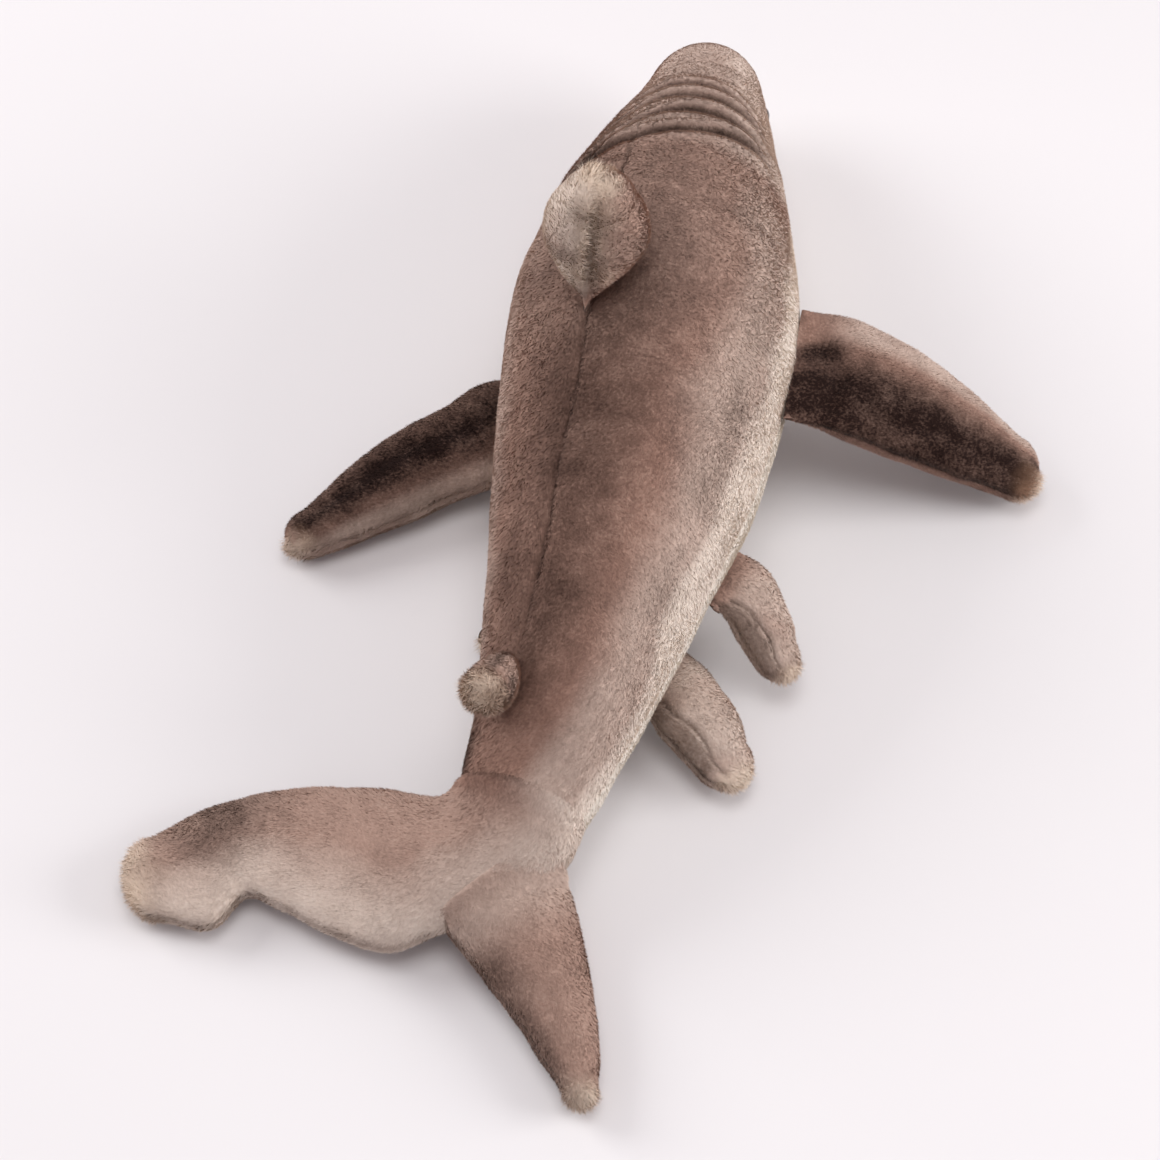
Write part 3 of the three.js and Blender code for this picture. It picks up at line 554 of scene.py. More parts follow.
class Nodes:
    """Short ways to add and link the nodes of one tree."""

    def __init__(self, tree):
        self.tree = tree

    def add(self, kind, inputs=None, **settings):
        made = self.tree.nodes.new(kind)
        for key, value in settings.items():
            setattr(made, key, value)
        for key, value in (inputs or {}).items():
            self.feed(made.inputs[key], value)
        return made

    def feed(self, socket, value):
        if isinstance(value, bpy.types.NodeSocket):
            self.tree.links.new(value, socket)
        else:
            socket.default_value = value

    def math(self, operation, *values, clamp=False):
        made = self.add("ShaderNodeMath", operation=operation, use_clamp=clamp)
        for socket, value in zip(made.inputs, values):
            self.feed(socket, value)
        return made.outputs[0]

    def mix(self, share, first, second, blend="MIX"):
        made = self.add("ShaderNodeMix", data_type="RGBA", blend_type=blend, clamp_factor=True)
        self.feed(made.inputs[0], share)
        self.feed(made.inputs[6], first)
        self.feed(made.inputs[7], second)
        return made.outputs[2]

    def mark(self, name):
        return self.add("ShaderNodeAttribute", attribute_name=name).outputs["Fac"]

    def noise(self, scale, detail, roughness=0.5):
        place = self.add("ShaderNodeTexCoord").outputs["Object"]
        made = self.add("ShaderNodeTexNoise", {"Vector": place, "Scale": scale, "Detail": detail})
        made.inputs["Roughness"].default_value = roughness
        return made.outputs["Fac"]


def new_group(name, inputs, outputs):
    """An empty shader group with named sockets, and its input and output nodes."""
    tree = bpy.data.node_groups.new(name, "ShaderNodeTree")
    for label, kind in inputs:
        tree.interface.new_socket(label, in_out="INPUT", socket_type=kind)
    for label, kind in outputs:
        tree.interface.new_socket(label, in_out="OUTPUT", socket_type=kind)
    return tree, tree.nodes.new("NodeGroupInput"), tree.nodes.new("NodeGroupOutput")


# Brushed pile: how fine each pattern is, and how much it mottles the colour
PATCH_SCALE, PATCH_SHARE = 28, 0.8
STROKE_SCALE, STROKE_SHARE = 105, 0.7
TUFT_SCALE = 700
FLECK_SHARE = 0.2
MOTTLE_DARK, MOTTLE_PALE = 0.65, 0.9


def brushed_pile_group():
    """Colour of brushed pile: broad brushed patches, tufts and single hairs mix a shadow, a ground and a
    light colour, seams and the painted shade of hollows draw towards the shadow, and painted shade makes a
    hair darkest at its root, deep in the pile."""
    colour, value = "NodeSocketColor", "NodeSocketFloat"
    tree, given, out = new_group(
        "brushed pile",
        [("Ground", colour), ("Shadow", colour), ("Light", colour), ("Shade", value), ("Depth", value),
         ("Fleck", value)],
        [("Color", colour), ("Roughness", value), ("Height", value)],
    )
    n = Nodes(tree)
    patch = n.math("SUBTRACT", n.noise(PATCH_SCALE, 2), 0.5)
    stroke = n.math("SUBTRACT", n.noise(STROKE_SCALE, 2), 0.5)
    tuft = n.math("SUBTRACT", n.noise(TUFT_SCALE, 2), 0.5)
    hair = n.math("SUBTRACT", given.outputs["Fleck"], 0.5)
    broad = n.math("ADD", n.math("MULTIPLY", patch, PATCH_SHARE), n.math("MULTIPLY", stroke, STROKE_SHARE))
    fine = n.math("ADD", tuft, n.math("MULTIPLY", hair, FLECK_SHARE))
    mottle = n.math("ADD", broad, fine)
    dark = n.math("SUBTRACT", given.outputs["Shade"], n.math("MULTIPLY", mottle, MOTTLE_DARK), clamp=True)
    pale = n.math("MULTIPLY", mottle, MOTTLE_PALE, clamp=True)
    lit = n.mix(pale, given.outputs["Ground"], given.outputs["Light"])
    shaded = n.mix(dark, lit, given.outputs["Shadow"])
    # Painted shade: a hair is darker towards its root, deep in the pile
    root = n.math("MULTIPLY_ADD", given.outputs["Depth"], 0.2, 0.82)
    grey = n.add("ShaderNodeCombineColor", {"Red": root, "Green": root, "Blue": root}).outputs[0]
    n.feed(out.inputs["Color"], n.mix(1.0, shaded, grey, "MULTIPLY"))
    n.feed(out.inputs["Roughness"], n.math("MULTIPLY_ADD", tuft, 0.25, 0.88))
    n.feed(out.inputs["Height"], n.math("ADD", tuft, n.math("MULTIPLY", hair, 0.5)))
    return tree


pile_group = brushed_pile_group()

BROWN = {"Ground": "#b08b7b", "Shadow": "#1f0b06", "Light": "#d2b5a4"}
BEIGE = {"Ground": "#f5e7da", "Shadow": "#a58a7a", "Light": "#fdf6ec"}
TAN = {"Ground": "#f1dcc8", "Shadow": "#a07a62", "Light": "#fcf0e0"}
CREAM = {"Ground": "#ece2d6", "Shadow": "#c8b8a8", "Light": "#faf5ec"}


def new_material(name, sheen=0.0, tint="#ffffff", roughness=0.9):
    """A material with one Principled shader, whose even values are set on its own sockets."""
    material = bpy.data.materials.new(name)
    material.use_nodes = True
    n = Nodes(material.node_tree)
    shader = material.node_tree.nodes["Principled BSDF"]
    shader.inputs["Roughness"].default_value = roughness
    shader.inputs["Sheen Weight"].default_value = sheen
    shader.inputs["Sheen Roughness"].default_value = 0.45
    shader.inputs["Sheen Tint"].default_value = linear(tint)
    return material, n, shader


def plush(name, main, side, tip):
    """Plush in a main colour set, with a second set where the tone mark is 1 and a third in the fluff."""
    material, n, shader = new_material(name, 0.2, "#f3e6dd")
    shader.inputs["Specular IOR Level"].default_value = 0.15
    marks = {"Shade": n.mark("shade"), "Depth": n.mark("depth"), "Fleck": n.mark("fleck")}
    groups = []
    for colours in (main, side, tip):
        made = n.add("ShaderNodeGroup", node_tree=pile_group)
        for label, socket in marks.items():
            n.feed(made.inputs[label], socket)
        for label, code in colours.items():
            n.feed(made.inputs[label], linear(code))
        groups.append(made)
    toned = n.mix(n.mark("tone"), groups[0].outputs["Color"], groups[1].outputs["Color"])
    n.feed(shader.inputs["Base Color"], n.mix(n.mark("fluff"), toned, groups[2].outputs["Color"]))
    n.feed(shader.inputs["Roughness"], groups[0].outputs["Roughness"])
    height = groups[0].outputs["Height"]
    bump = n.add("ShaderNodeBump", {"Height": height, "Strength": 0.15, "Distance": 0.001})
    n.feed(shader.inputs["Normal"], bump.outputs["Normal"])
    return material


brown_plush = plush("brown_plush", BROWN, BEIGE, TAN)
cream_plush = plush("cream_plush", CREAM, BEIGE, TAN)


def fibrous(name, ground, shadow, scale, sheen):
    """Matted fibres: fine noise between two close colours, with a soft bump."""
    material, n, shader = new_material(name, sheen)
    strands = n.noise(scale, 4, 0.65)
    n.feed(shader.inputs["Base Color"], n.mix(strands, linear(shadow), linear(ground)))
    n.feed(shader.inputs["Roughness"], n.math("MULTIPLY_ADD", strands, 0.2, 0.78))
    bump = n.add("ShaderNodeBump", {"Height": strands, "Strength": 0.5, "Distance": 0.0008})
    n.feed(shader.inputs["Normal"], bump.outputs["Normal"])
    return material


fibre_fill = fibrous("fibre_fill", "#f7f5f0", "#dcd8d0", 420, 0.2)
mouth_felt_material = fibrous("mouth_felt", "#9a5556", "#6f3436", 900, 0.3)
tooth_felt_material = fibrous("tooth_felt", "#f8f5ee", "#ddd6c8", 900, 0.3)


def moulded(name, ground, worn, roughness, coat):
    """Moulded plastic: faint flow marks in its colour and fine scuffs in its roughness."""
    material, n, shader = new_material(name, roughness=roughness)
    flow, scuff = n.noise(60, 2), n.noise(900, 3)
    n.feed(shader.inputs["Base Color"], n.mix(flow, linear(ground), linear(worn)))
    n.feed(shader.inputs["Roughness"], n.math("MULTIPLY_ADD", scuff, 0.18, roughness))
    shader.inputs["Coat Weight"].default_value = coat
    return material


eye_plastic = moulded("eye_plastic", "#060505", "#120c09", 0.06, 0.6)
washer_plastic = moulded("washer_plastic", "#dedbd3", "#cbc7bd", 0.4, 0.0)


# Trunk cover: one closed grid round the trunk, cut into its three panels


def trunk_cover():
    """The trunk's skin, pressed in along the seams, the head folds and the crease before the tail."""
    turn = np.radians(np.linspace(3, 90, 14))
    rounding = SKIN_INSET + (SNOUT_ROUND - SKIN_INSET) * (1 - np.cos(turn))
    stations = np.concatenate([
        rounding,
        np.arange(SNOUT_ROUND + FINE_STEP, HEAD_ROWS_END, FINE_STEP),
        np.arange(BODY_ROWS_START, BODY_ROWS_END, COARSE_STEP),
        np.arange(BODY_ROWS_END, CREASE_BACK + 0.1, FINE_STEP),
    ])
    rows_back = stations[:, None]
    seam = smooth(TRUNK, SEAM, np.clip(rows_back, 0, CREASE_BACK))
    back_share, belly_share = crowded(BACK_COLUMNS)[None], crowded(BELLY_COLUMNS)[None]
    right = seam * back_share
    belly = seam + (360 - 2 * seam) * belly_share
    left = 360 - seam + seam * back_share
    angle = np.concatenate([right, belly[:, 1:], left[:, 1:]], 1)
    back = np.broadcast_to(rows_back, angle.shape)
    signed = (angle + 180) % 360 - 180
    to_left = 1 - ease(signed, -10, 45)
    points = trunk_point(back, angle, SKIN_INSET + CREASE_DIP * to_left * bell(back - CREASE_BACK, 4))
    at_seam = (np.abs(signed) < 2) | (np.abs(np.abs(signed) - seam) < 2)
    at_end = (back < 12) | (back > CREASE_BACK - 6)
    sewn = at_seam | at_end | (points[..., 2] < SKIN_INSET + 0.5)
    points = swollen(points, sewn)
    normals = grid_normals(points, True)
    normals[0] = unit(normals[1].mean(0))
    radius = smooth(TRUNK, WIDE, np.clip(back, 0, CREASE_BACK)) * np.sqrt(
        1 - np.square(1 - np.clip(back / SNOUT_ROUND, 0, 1)))
    off_back = np.radians(signed) * radius
    drift = noise(np.stack([back, 0 * back, 0 * back], -1), 15, 21)
    stitch = off_back + 1.3 * drift * ease(back, 60, 150)
    shown = 1 - ease(back, 395, 430)
    off_belly = np.radians(np.abs(signed) - seam) * radius

    pucker = noise(np.stack([back, np.sign(signed) * 40, 0 * back], -1), 6.5, 3)
    valley = BACK_VALLEY * bell(off_back, BACK_VALLEY_WIDTH) * (0.5 + 0.8 * pucker)
    groove = BACK_GROOVE * bell(stitch, BACK_GROOVE_WIDTH) + valley
    groove = groove * (0.25 + 0.75 * ease(back, 110, 165)) * ease(back, 8, 40) * shown
    groove = groove + BELLY_GROOVE * bell(off_belly, BELLY_GROOVE_WIDTH) * ease(back, 4, 20)
    press = np.zeros_like(back)
    fold_shade = np.zeros_like(back)
    on_top = ease(signed, -75, -50) * (1 - ease(signed, 52, 90))
    around_head = np.clip(signed, FOLD_LINES[0, 0], FOLD_LINES[-1, 0])
    waver = 0.9 * noise(np.stack([signed, back, 0 * back], -1), 11, 20)
    for fold in range(1, FOLD_LINES.shape[1]):
        off = back + waver - smooth(FOLD_LINES, fold, around_head)
        ridges = RIDGE_SHARE * bell(np.abs(off) - RIDGE_OFF, RIDGE_WIDTH)
        press += FOLD_DEPTH * on_top * (bell(off, FOLD_WIDTH) - ridges)
        # Painted shade on the wall of the fold that shows
        in_fold = FOLD_SHADE * bell(off + FOLD_SHADE_AHEAD, FOLD_SHADE_WIDTH) * on_top
        fold_shade = np.maximum(fold_shade, in_fold)
    # Faint folds, also with painted shade
    for station, depth in FAINT_FOLDS:
        off = back + 2 * waver - station
        press += depth * bell(off, FOLD_WIDTH) * on_top
        fold_shade = np.maximum(fold_shade, 0.25 * depth * bell(off, 2.3) * on_top)
    lumps = 1.1 * noise(points, 46, 4) + 0.5 * noise(points, 17, 5)
    lifted = points[..., 2] - SKIN_INSET
    moved = (lumps - press) * ease(back, 0, 40) * ease(lifted, 0, 8) - groove * ease(lifted, 0, 2)
    moved = moved * (1 - bell(back - CREASE_BACK, 4))
    under_felt = felt_mask(back, signed)
    trimmed = np.ones_like(back)
    lift = under_felt
    for eye in ("left_eye", "right_eye"):
        low, high = (np.array(corner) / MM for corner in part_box(eye))
        off_eye = np.linalg.norm(points - (low + high) / 2, axis=-1)
        trimmed = np.minimum(trimmed, ease(off_eye, 6.2, 10.5))
        lift = np.maximum(lift, 1 - ease(off_eye, 6, 12))
    moved = moved * (1 - lift) + (SKIN_INSET - LIFT_SHORT) * lift
    points = points + normals * moved[..., None]
    points[..., 2] = np.maximum(points[..., 2], SKIN_INSET)
    normals = grid_normals(points, True)
    normals[0] = unit(normals[1].mean(0))

    # Painted shade round the fin roots, where the fins meet the trunk
    root_shade = np.zeros_like(back)
    for start, end in fin_roots:
        root_shade = np.maximum(root_shade, 0.55 * bell(segment_distance(points, start, end), 5))
    flank = noise(points, 22, 6)
    band = 0.3 * bell(signed - 75, 9) * ease(back, 190, 240) * (1 - ease(back, 350, 400)) * (0.6 + flank)
    stitched = (0.3 * ease(back, 20, 50) + 0.35 * ease(back, 120, 165)) * shown
    shade = stitched * (0.75 + 0.4 * pucker) * bell(stitch, 1.7)
    # Painted shade in a wide band just right of the back seam
    shade = shade + 0.2 * bell(off_back - 7, 11) * ease(back, 180, 260) * shown
    shade = np.maximum(np.maximum(shade, fold_shade), root_shade) + band
    # Painted shade on the left at the crease before the tail, and in a strip left of the back seam
    crease = 0.85 * bell(back - CREASE_BACK + 10, 17) * (1 - ease(signed, -40, 5))
    left_strip = 0.35 * bell(signed + 18, 16) * ease(back, 280, 330) * shown
    shade = np.maximum(np.maximum(shade, crease), left_strip)
    behind_head = ease(back, 140, 215)
    # Painted shade along the back either side of the seam, fading towards the flanks, a little on the head
    painted_back_shade = 0.5 * bell(signed - 13, 27) + 0.24 * bell(signed + 22, 20)
    painted_back_shade = painted_back_shade * behind_head * (1 - 0.75 * ease(back, 395, 460))
    shade = np.maximum(shade, painted_back_shade * (1 + 0.3 * flank) + 0.08 * (1 - behind_head))
    to_tail = ease(back, 370, 450)
    fade_from = 71 + 26 * (1 - ease(back, 120, 200)) + 12 * to_tail
    tone = ease(np.abs(signed) + 5 * flank, fade_from, fade_from + 19 + 24 * to_tail)
    # Painted light in the next three marks: paler left side, upper right flank and left shoulder
    tone = np.maximum(tone, 0.26 * ease(-signed + 6 * flank, 30, 52) * ease(back, 130, 170))
    tone = np.maximum(tone, 0.42 * ease(signed + 7 * flank, 42, 70) * ease(back, 110, 170))
    tone = np.maximum(tone, 0.3 * ease(-signed + 7 * flank, 12, 40) * bell(back - 165, 45))
    tone = np.maximum(tone, 0.12 * (1 - ease(back, 190, 300)))
    # Paler head, with painted light on its right side and painted shade on its left; folds stay dark
    head = (0.4 + 0.2 * ease(signed, 38, 66)) * (1 - ease(back, 120, 150)) * ease(signed, -60, -10)
    tone = np.maximum(tone, head * (1 - fold_shade))
    length = (0.45 + 0.55 * ease(back, 0, 120)) * trimmed * (1 - under_felt)
    return {
        "points": points,
        "normals": normals,
        "comb": comb_field(points, normals, 1.0),
        "length": length,
        "shade": np.clip(shade, 0, 1),
        "tone": tone,
        "fluff": np.zeros_like(back),
    }


def segment_distance(points, start, end):
    """Distance of points from a straight line between two points."""
    along = end - start
    share = np.clip(((points - start) @ along) / (along @ along), 0, 1)
    return np.linalg.norm(points - start - share[..., None] * along, axis=-1)


# Felt mouth, as in the CAD model

MOUTH_BACK = 58
MOUTH_CORNER_BACK = 20
MOUTH_HALF_ANGLE = 33
MOUTH_DEPTH = 17
CORNER_SHARE = 0.14
FELT = 1.2
LINING_LIFT = 0.45
TEETH_LIFT = 1.95
TEETH = 9
TOOTH_LENGTH = 7
TOOTH_BAND = 2
TEETH_SHARE = 0.9


def mouth_front(column):
    """Station of the mouth's front edge, further back towards its corners."""
    return MOUTH_BACK + MOUTH_CORNER_BACK * column * column


def mouth_depth(column):
    """Depth of the mouth, a half ellipse that stops short of closing at the corners."""
    return MOUTH_DEPTH * np.maximum(np.sqrt(np.maximum(1 - column * column, 0)), CORNER_SHARE)


def felt_mask(back, signed):
    """1 on the skin under the felt mouth, 0 elsewhere."""
    column = (np.abs(signed) - 180) / MOUTH_HALF_ANGLE
    front = mouth_front(column)
    inside = ease(back, front - 2, front + 1) * (1 - ease(back, front + mouth_depth(column) - 1,
                                                          front + mouth_depth(column) + 2))
    return inside * (np.abs(column) < 1.03)


def felt_sheet(rows, columns, back_at, lift):
    """A sheet of felt laid on the skin under the head: its grid runs back from the mouth's front edge."""
    row, column = np.meshgrid(rows, columns, indexing="ij")
    point, _, _, out = skin_axes(back_at(row, column), 180 + column * MOUTH_HALF_ANGLE)
    waver = 0.18 * noise(point, 5, 7)
    grid = point + out * (lift + FELT / 2 + waver)[..., None]
    cloth = {"points": grid, "normals": grid_normals(grid, False)}
    if (cloth["normals"] * out).sum() < 0:
        cloth["normals"] = -cloth["normals"]
    blank = np.zeros(grid.shape[:2])
    cloth.update(shade=blank, tone=blank, fluff=blank, thick=np.full(grid.shape[:2], FELT))
    return with_map(cloth)


def tooth_reach(column):
    """Length of the felt teeth across the mouth: a zigzag between the uncut band and the points."""
    wave = (column / TEETH_SHARE + 1) / 2 * TEETH
    peak = 1 - np.abs(2 * (wave - np.floor(wave)) - 1)
    return TOOTH_BAND + (TOOTH_LENGTH - TOOTH_BAND) * peak


# Fins


def seat_axes(seat):
    """Origin and axes of a fin on the trunk: its span leans from square to the skin, then forward along
    the skin, then through the fin."""
    point, fore, around, out = skin_axes(np.array(float(seat["back"])), np.array(float(seat["angle"])))
    lean = np.radians(seat["lean"])
    span = out * np.cos(lean) + around * np.sin(lean)
    return point + out * seat.get("gap", ROOT_GAP), span, fore, np.cross(span, fore)


def fin_point(fin, at, angle, inset):
    """A padded fin in its own axes: an ellipse across chord and thickness, carried along the span, rounded
    off at the tip by a quarter ellipse, with its ribs turned back by the sweep."""
    start = 1 - fin["tip"]
    past = np.maximum(at - start, 0) / fin["tip"]
    shut = np.sqrt(np.maximum(1 - past * past, 4e-4))
    rib = np.minimum(at, start)
    lead = smooth(fin["ribs"], LEAD, rib) * fin["chord"]
    trail = smooth(fin["ribs"], TRAIL, rib) * fin["chord"]
    along = rib * fin["length"] + past * (fin["tip"] * fin["length"] - inset)
    along = along - ROOT_TUCK * (1 - ease(at, 0, 0.08))
    half = np.maximum((lead - trail) / 2 - inset, 0.5)
    across = (lead + trail) / 2 + half * shut * np.cos(angle)
    swollen = smooth(fin["ribs"], SWELL, rib) * fin["thick"] / 2
    through = np.maximum(swollen - inset, 0.25 * swollen + 0.4) * shut * np.sin(angle)
    sweep = np.radians(fin["sweep"]) * ease(at, 0, fin.get("sweep_share", SWEEP_SHARE))
    return np.stack([
        along * np.cos(sweep) + across * np.sin(sweep),
        across * np.cos(sweep) - along * np.sin(sweep),
        through,
    ], -1)


def fin_cover(fin, seat):
    """A fin's closed cover on the trunk, pinched along its edge seam, lumpy, with fluff at its tip."""
    origin, *axes = seat_axes(seat)
    start = 1 - fin["tip"]
    stem = np.concatenate([[0, 0.006, 0.014], np.linspace(0.025, start, FIN_ROWS)])
    tip = start + fin["tip"] * np.sin(np.radians(np.linspace(0, 90, 15)[1:]))
    share = np.concatenate([stem, tip])[:, None]
    turn = np.linspace(0, 2 * np.pi, 2 * FIN_COLUMNS + 1)[None]
    at, angle = np.broadcast_arrays(share, turn)
    local = fin_point(fin, at, angle, fin.get("inset", SKIN_INSET))
    points = origin + local @ np.array(axes)
    off_edge = np.abs(local[..., 2])
    points = swollen(points, (at < 0.03) | (at > 0.985) | (off_edge < 0.6))
    normals = grid_normals(points, True)
    opened = ease(at, 0, 0.16)
    pucker = noise(points, 7, 8)
    chord_share = (1 - np.cos(angle)) / 2
    rear = ease(chord_share, 0.4, 0.6)
    cleft = fin.get("cleft", 0) * rear * bell(off_edge + 1.2 * pucker, 3.0) * ease(at, 0.1, 0.3)
    cleft = cleft * (1 - 0.7 * ease(at, 0.55, 0.85))
    groove = (1.3 + 0.7 * pucker) * bell(off_edge, EDGE_GROOVE_WIDTH) * opened + cleft
    where, width, depth = fin.get("press", (0, 1, 0))
    pressed = bell(chord_share - where, width) * ease(at, 0.1, 0.3) * (1 - ease(at, 0.75, 0.95))
    groove = groove + depth * pressed
    on_top = (np.sin(angle) > 0) == (fin["sides"][0] == "top")
    off_seam = (chord_share - fin.get("seam_at", 9) + 0.1 * bell(at - 0.6, 0.3)) * fin["chord"]
    seam_line = on_top * bell(off_seam + 0.7 * pucker, 1.9)
    seam_line = seam_line * ease(at, 0.04, 0.14) * (1 - ease(at, 0.88, 0.96))
    below_seam = on_top * ease(off_seam, 0, 4) * (1 - ease(at + 0.1 * pucker, 0.84, 0.94))
    dimples = np.zeros_like(at)
    for place, across, dip in fin.get("dimples", []):
        off_dimple = (at - place) * fin["length"] + 2 * pucker
        dimples += dip * bell(off_dimple, 4.5) * bell(chord_share - across, 0.2)
    dimples = dimples * on_top
    groove = groove + 1.2 * seam_line + dimples
    lumps = (0.9 * noise(points, 26, 9) + 0.45 * noise(points, 11, 10)) * opened
    points = points + normals * (lumps - groove)[..., None]
    points[..., 2] = np.maximum(points[..., 2], FLOOR_CLEAR)
    normals = grid_normals(points, True)
    fluff = ease(at + 0.05 * noise(points, 8, 11), fin["fluff_from"], 1.0)
    if "fluff_behind" in fin:
        fluff = fluff * ease(chord_share, fin["fluff_behind"] - 0.15, fin["fluff_behind"] + 0.15)
    brushed_up = fin.get("edge_fluff", 0) * rear * bell(off_edge + 4 * noise(points, 11, 19), 8)
    fluff = np.maximum(fluff, brushed_up * ease(at, 0.08, 0.3))
    edge = bell(off_edge, EDGE_SHADE_WIDTH) * opened
    edge_shade = fin.get("edge_shade", 0.5)
    # Painted shade at the root, below the seam, in the dimples and the cleft; the edge seam is a dark joint
    shade = np.maximum(edge_shade * edge * (1 - fluff), 0.5 * bell(at * fin["length"], 4))
    shade = np.maximum(shade, np.maximum(0.75 * seam_line, 0.68 * below_seam))
    shade = np.maximum(shade, 0.2 * dimples)
    shade = np.maximum(shade, 0.22 * cleft * (0.6 + 0.6 * pucker))
    # The dark band is painted shade across the fin's top, partly the pile's nap
    if "band" in fin:
        middle, before, behind, least = fin["band"]
        off_band = chord_share - middle + 0.04 * pucker
        front = least + (1 - least) * bell(off_band, before)
        band = np.where(off_band < 0, front, bell(off_band, behind)) * on_top * (1 - ease(at, 0.93, 1.0))
        shade = np.maximum(shade, band)
    tone = np.zeros_like(at)
    # Brushed patches: on the dorsal fin and the right pectoral partly painted light and painted shade
    for mark in fin.get("brushed", []):
        spot = ease(chord_share, mark["from"] - 0.12, mark["from"] + 0.05)
        spot = spot * (1 - ease(chord_share, mark["to"] - 0.05, mark["to"] + 0.12))
        spot = spot * ease(at, mark["begin"] - 0.1, mark["begin"] + 0.1)
        spot = spot * (1 - ease(at, mark["end"] - 0.1, mark["end"] + 0.1))
        spot = spot * np.clip(0.95 + 0.4 * noise(points, 14, 12), 0, 1)
        if "half" in mark:
            spot = spot * ((np.sin(angle) > 0) == (mark["half"] == 0))
        shade = np.maximum(shade, spot * mark.get("shade", 0))
        tone = np.maximum(tone, spot * mark.get("tone", 0))
    half_thick = smooth(fin["ribs"], SWELL, np.minimum(at, start)) * fin["thick"] / 2
    return {
        "points": points,
        "normals": normals,
        "comb": comb_field(points, normals, 1.1),
        "length": 0.35 + 0.65 * ease(at, 0, 0.12),
        "shade": np.clip(shade, 0, 1),
        "tone": np.clip(tone, 0, 1),
        "fluff": np.clip(fluff, 0, 1),
        "off_edge": off_edge,
        "thick": np.minimum(CLOTH, 0.35 * half_thick + 0.1),
    }


# Tail


def tail_axes():
    """Origin at the crease, and the tail's axes: back, to the right, and up."""
    station = np.array(float(CREASE_BACK))
    origin = np.array([smooth(TRUNK, SIDE, station), SNOUT_Y - CREASE_BACK, smooth(TRUNK, MIDDLE, station)])
    right = section_right(station)
    up = np.array([0, 0, 1.0])
    return origin, np.cross(right, up), right, up


def lobe_point(lobe, at, past, angle, inset):
    """A tail lobe in the tail's axes: an ellipse between its leading and trailing edges, fanned round from
    the crease. Past the last rib a quarter ellipse rounds off the tip."""
    value = lambda column: smooth(lobe["ribs"], column, at)
    lead = np.stack([value(LEAD_X) * lobe["back"], value(LEAD_Y) * lobe["side"]], -1)
    trail = np.stack([value(TRAIL_X) * lobe["back"], value(TRAIL_Y) * lobe["side"]], -1)
    middle, half = (lead + trail) / 2, (lead - trail) / 2
    reach = np.linalg.norm(half, axis=-1)
    to_lead = half / reach[..., None]
    outward = np.stack([-to_lead[..., 1], to_lead[..., 0]], -1) * lobe["outward"]
    shut = np.sqrt(np.maximum(1 - past * past, 4e-4))
    flat = middle + to_lead * ((reach - inset) * shut * np.cos(angle))[..., None]
    flat = flat + outward * (past * (lobe["tip"] - inset))[..., None]
    through = (value(LOBE_SWELL) * lobe["thick"] / 2 - inset) * shut * np.sin(angle)
    return np.stack([flat[..., 0], flat[..., 1], through - value(DROP) * TAIL_DROP], -1)


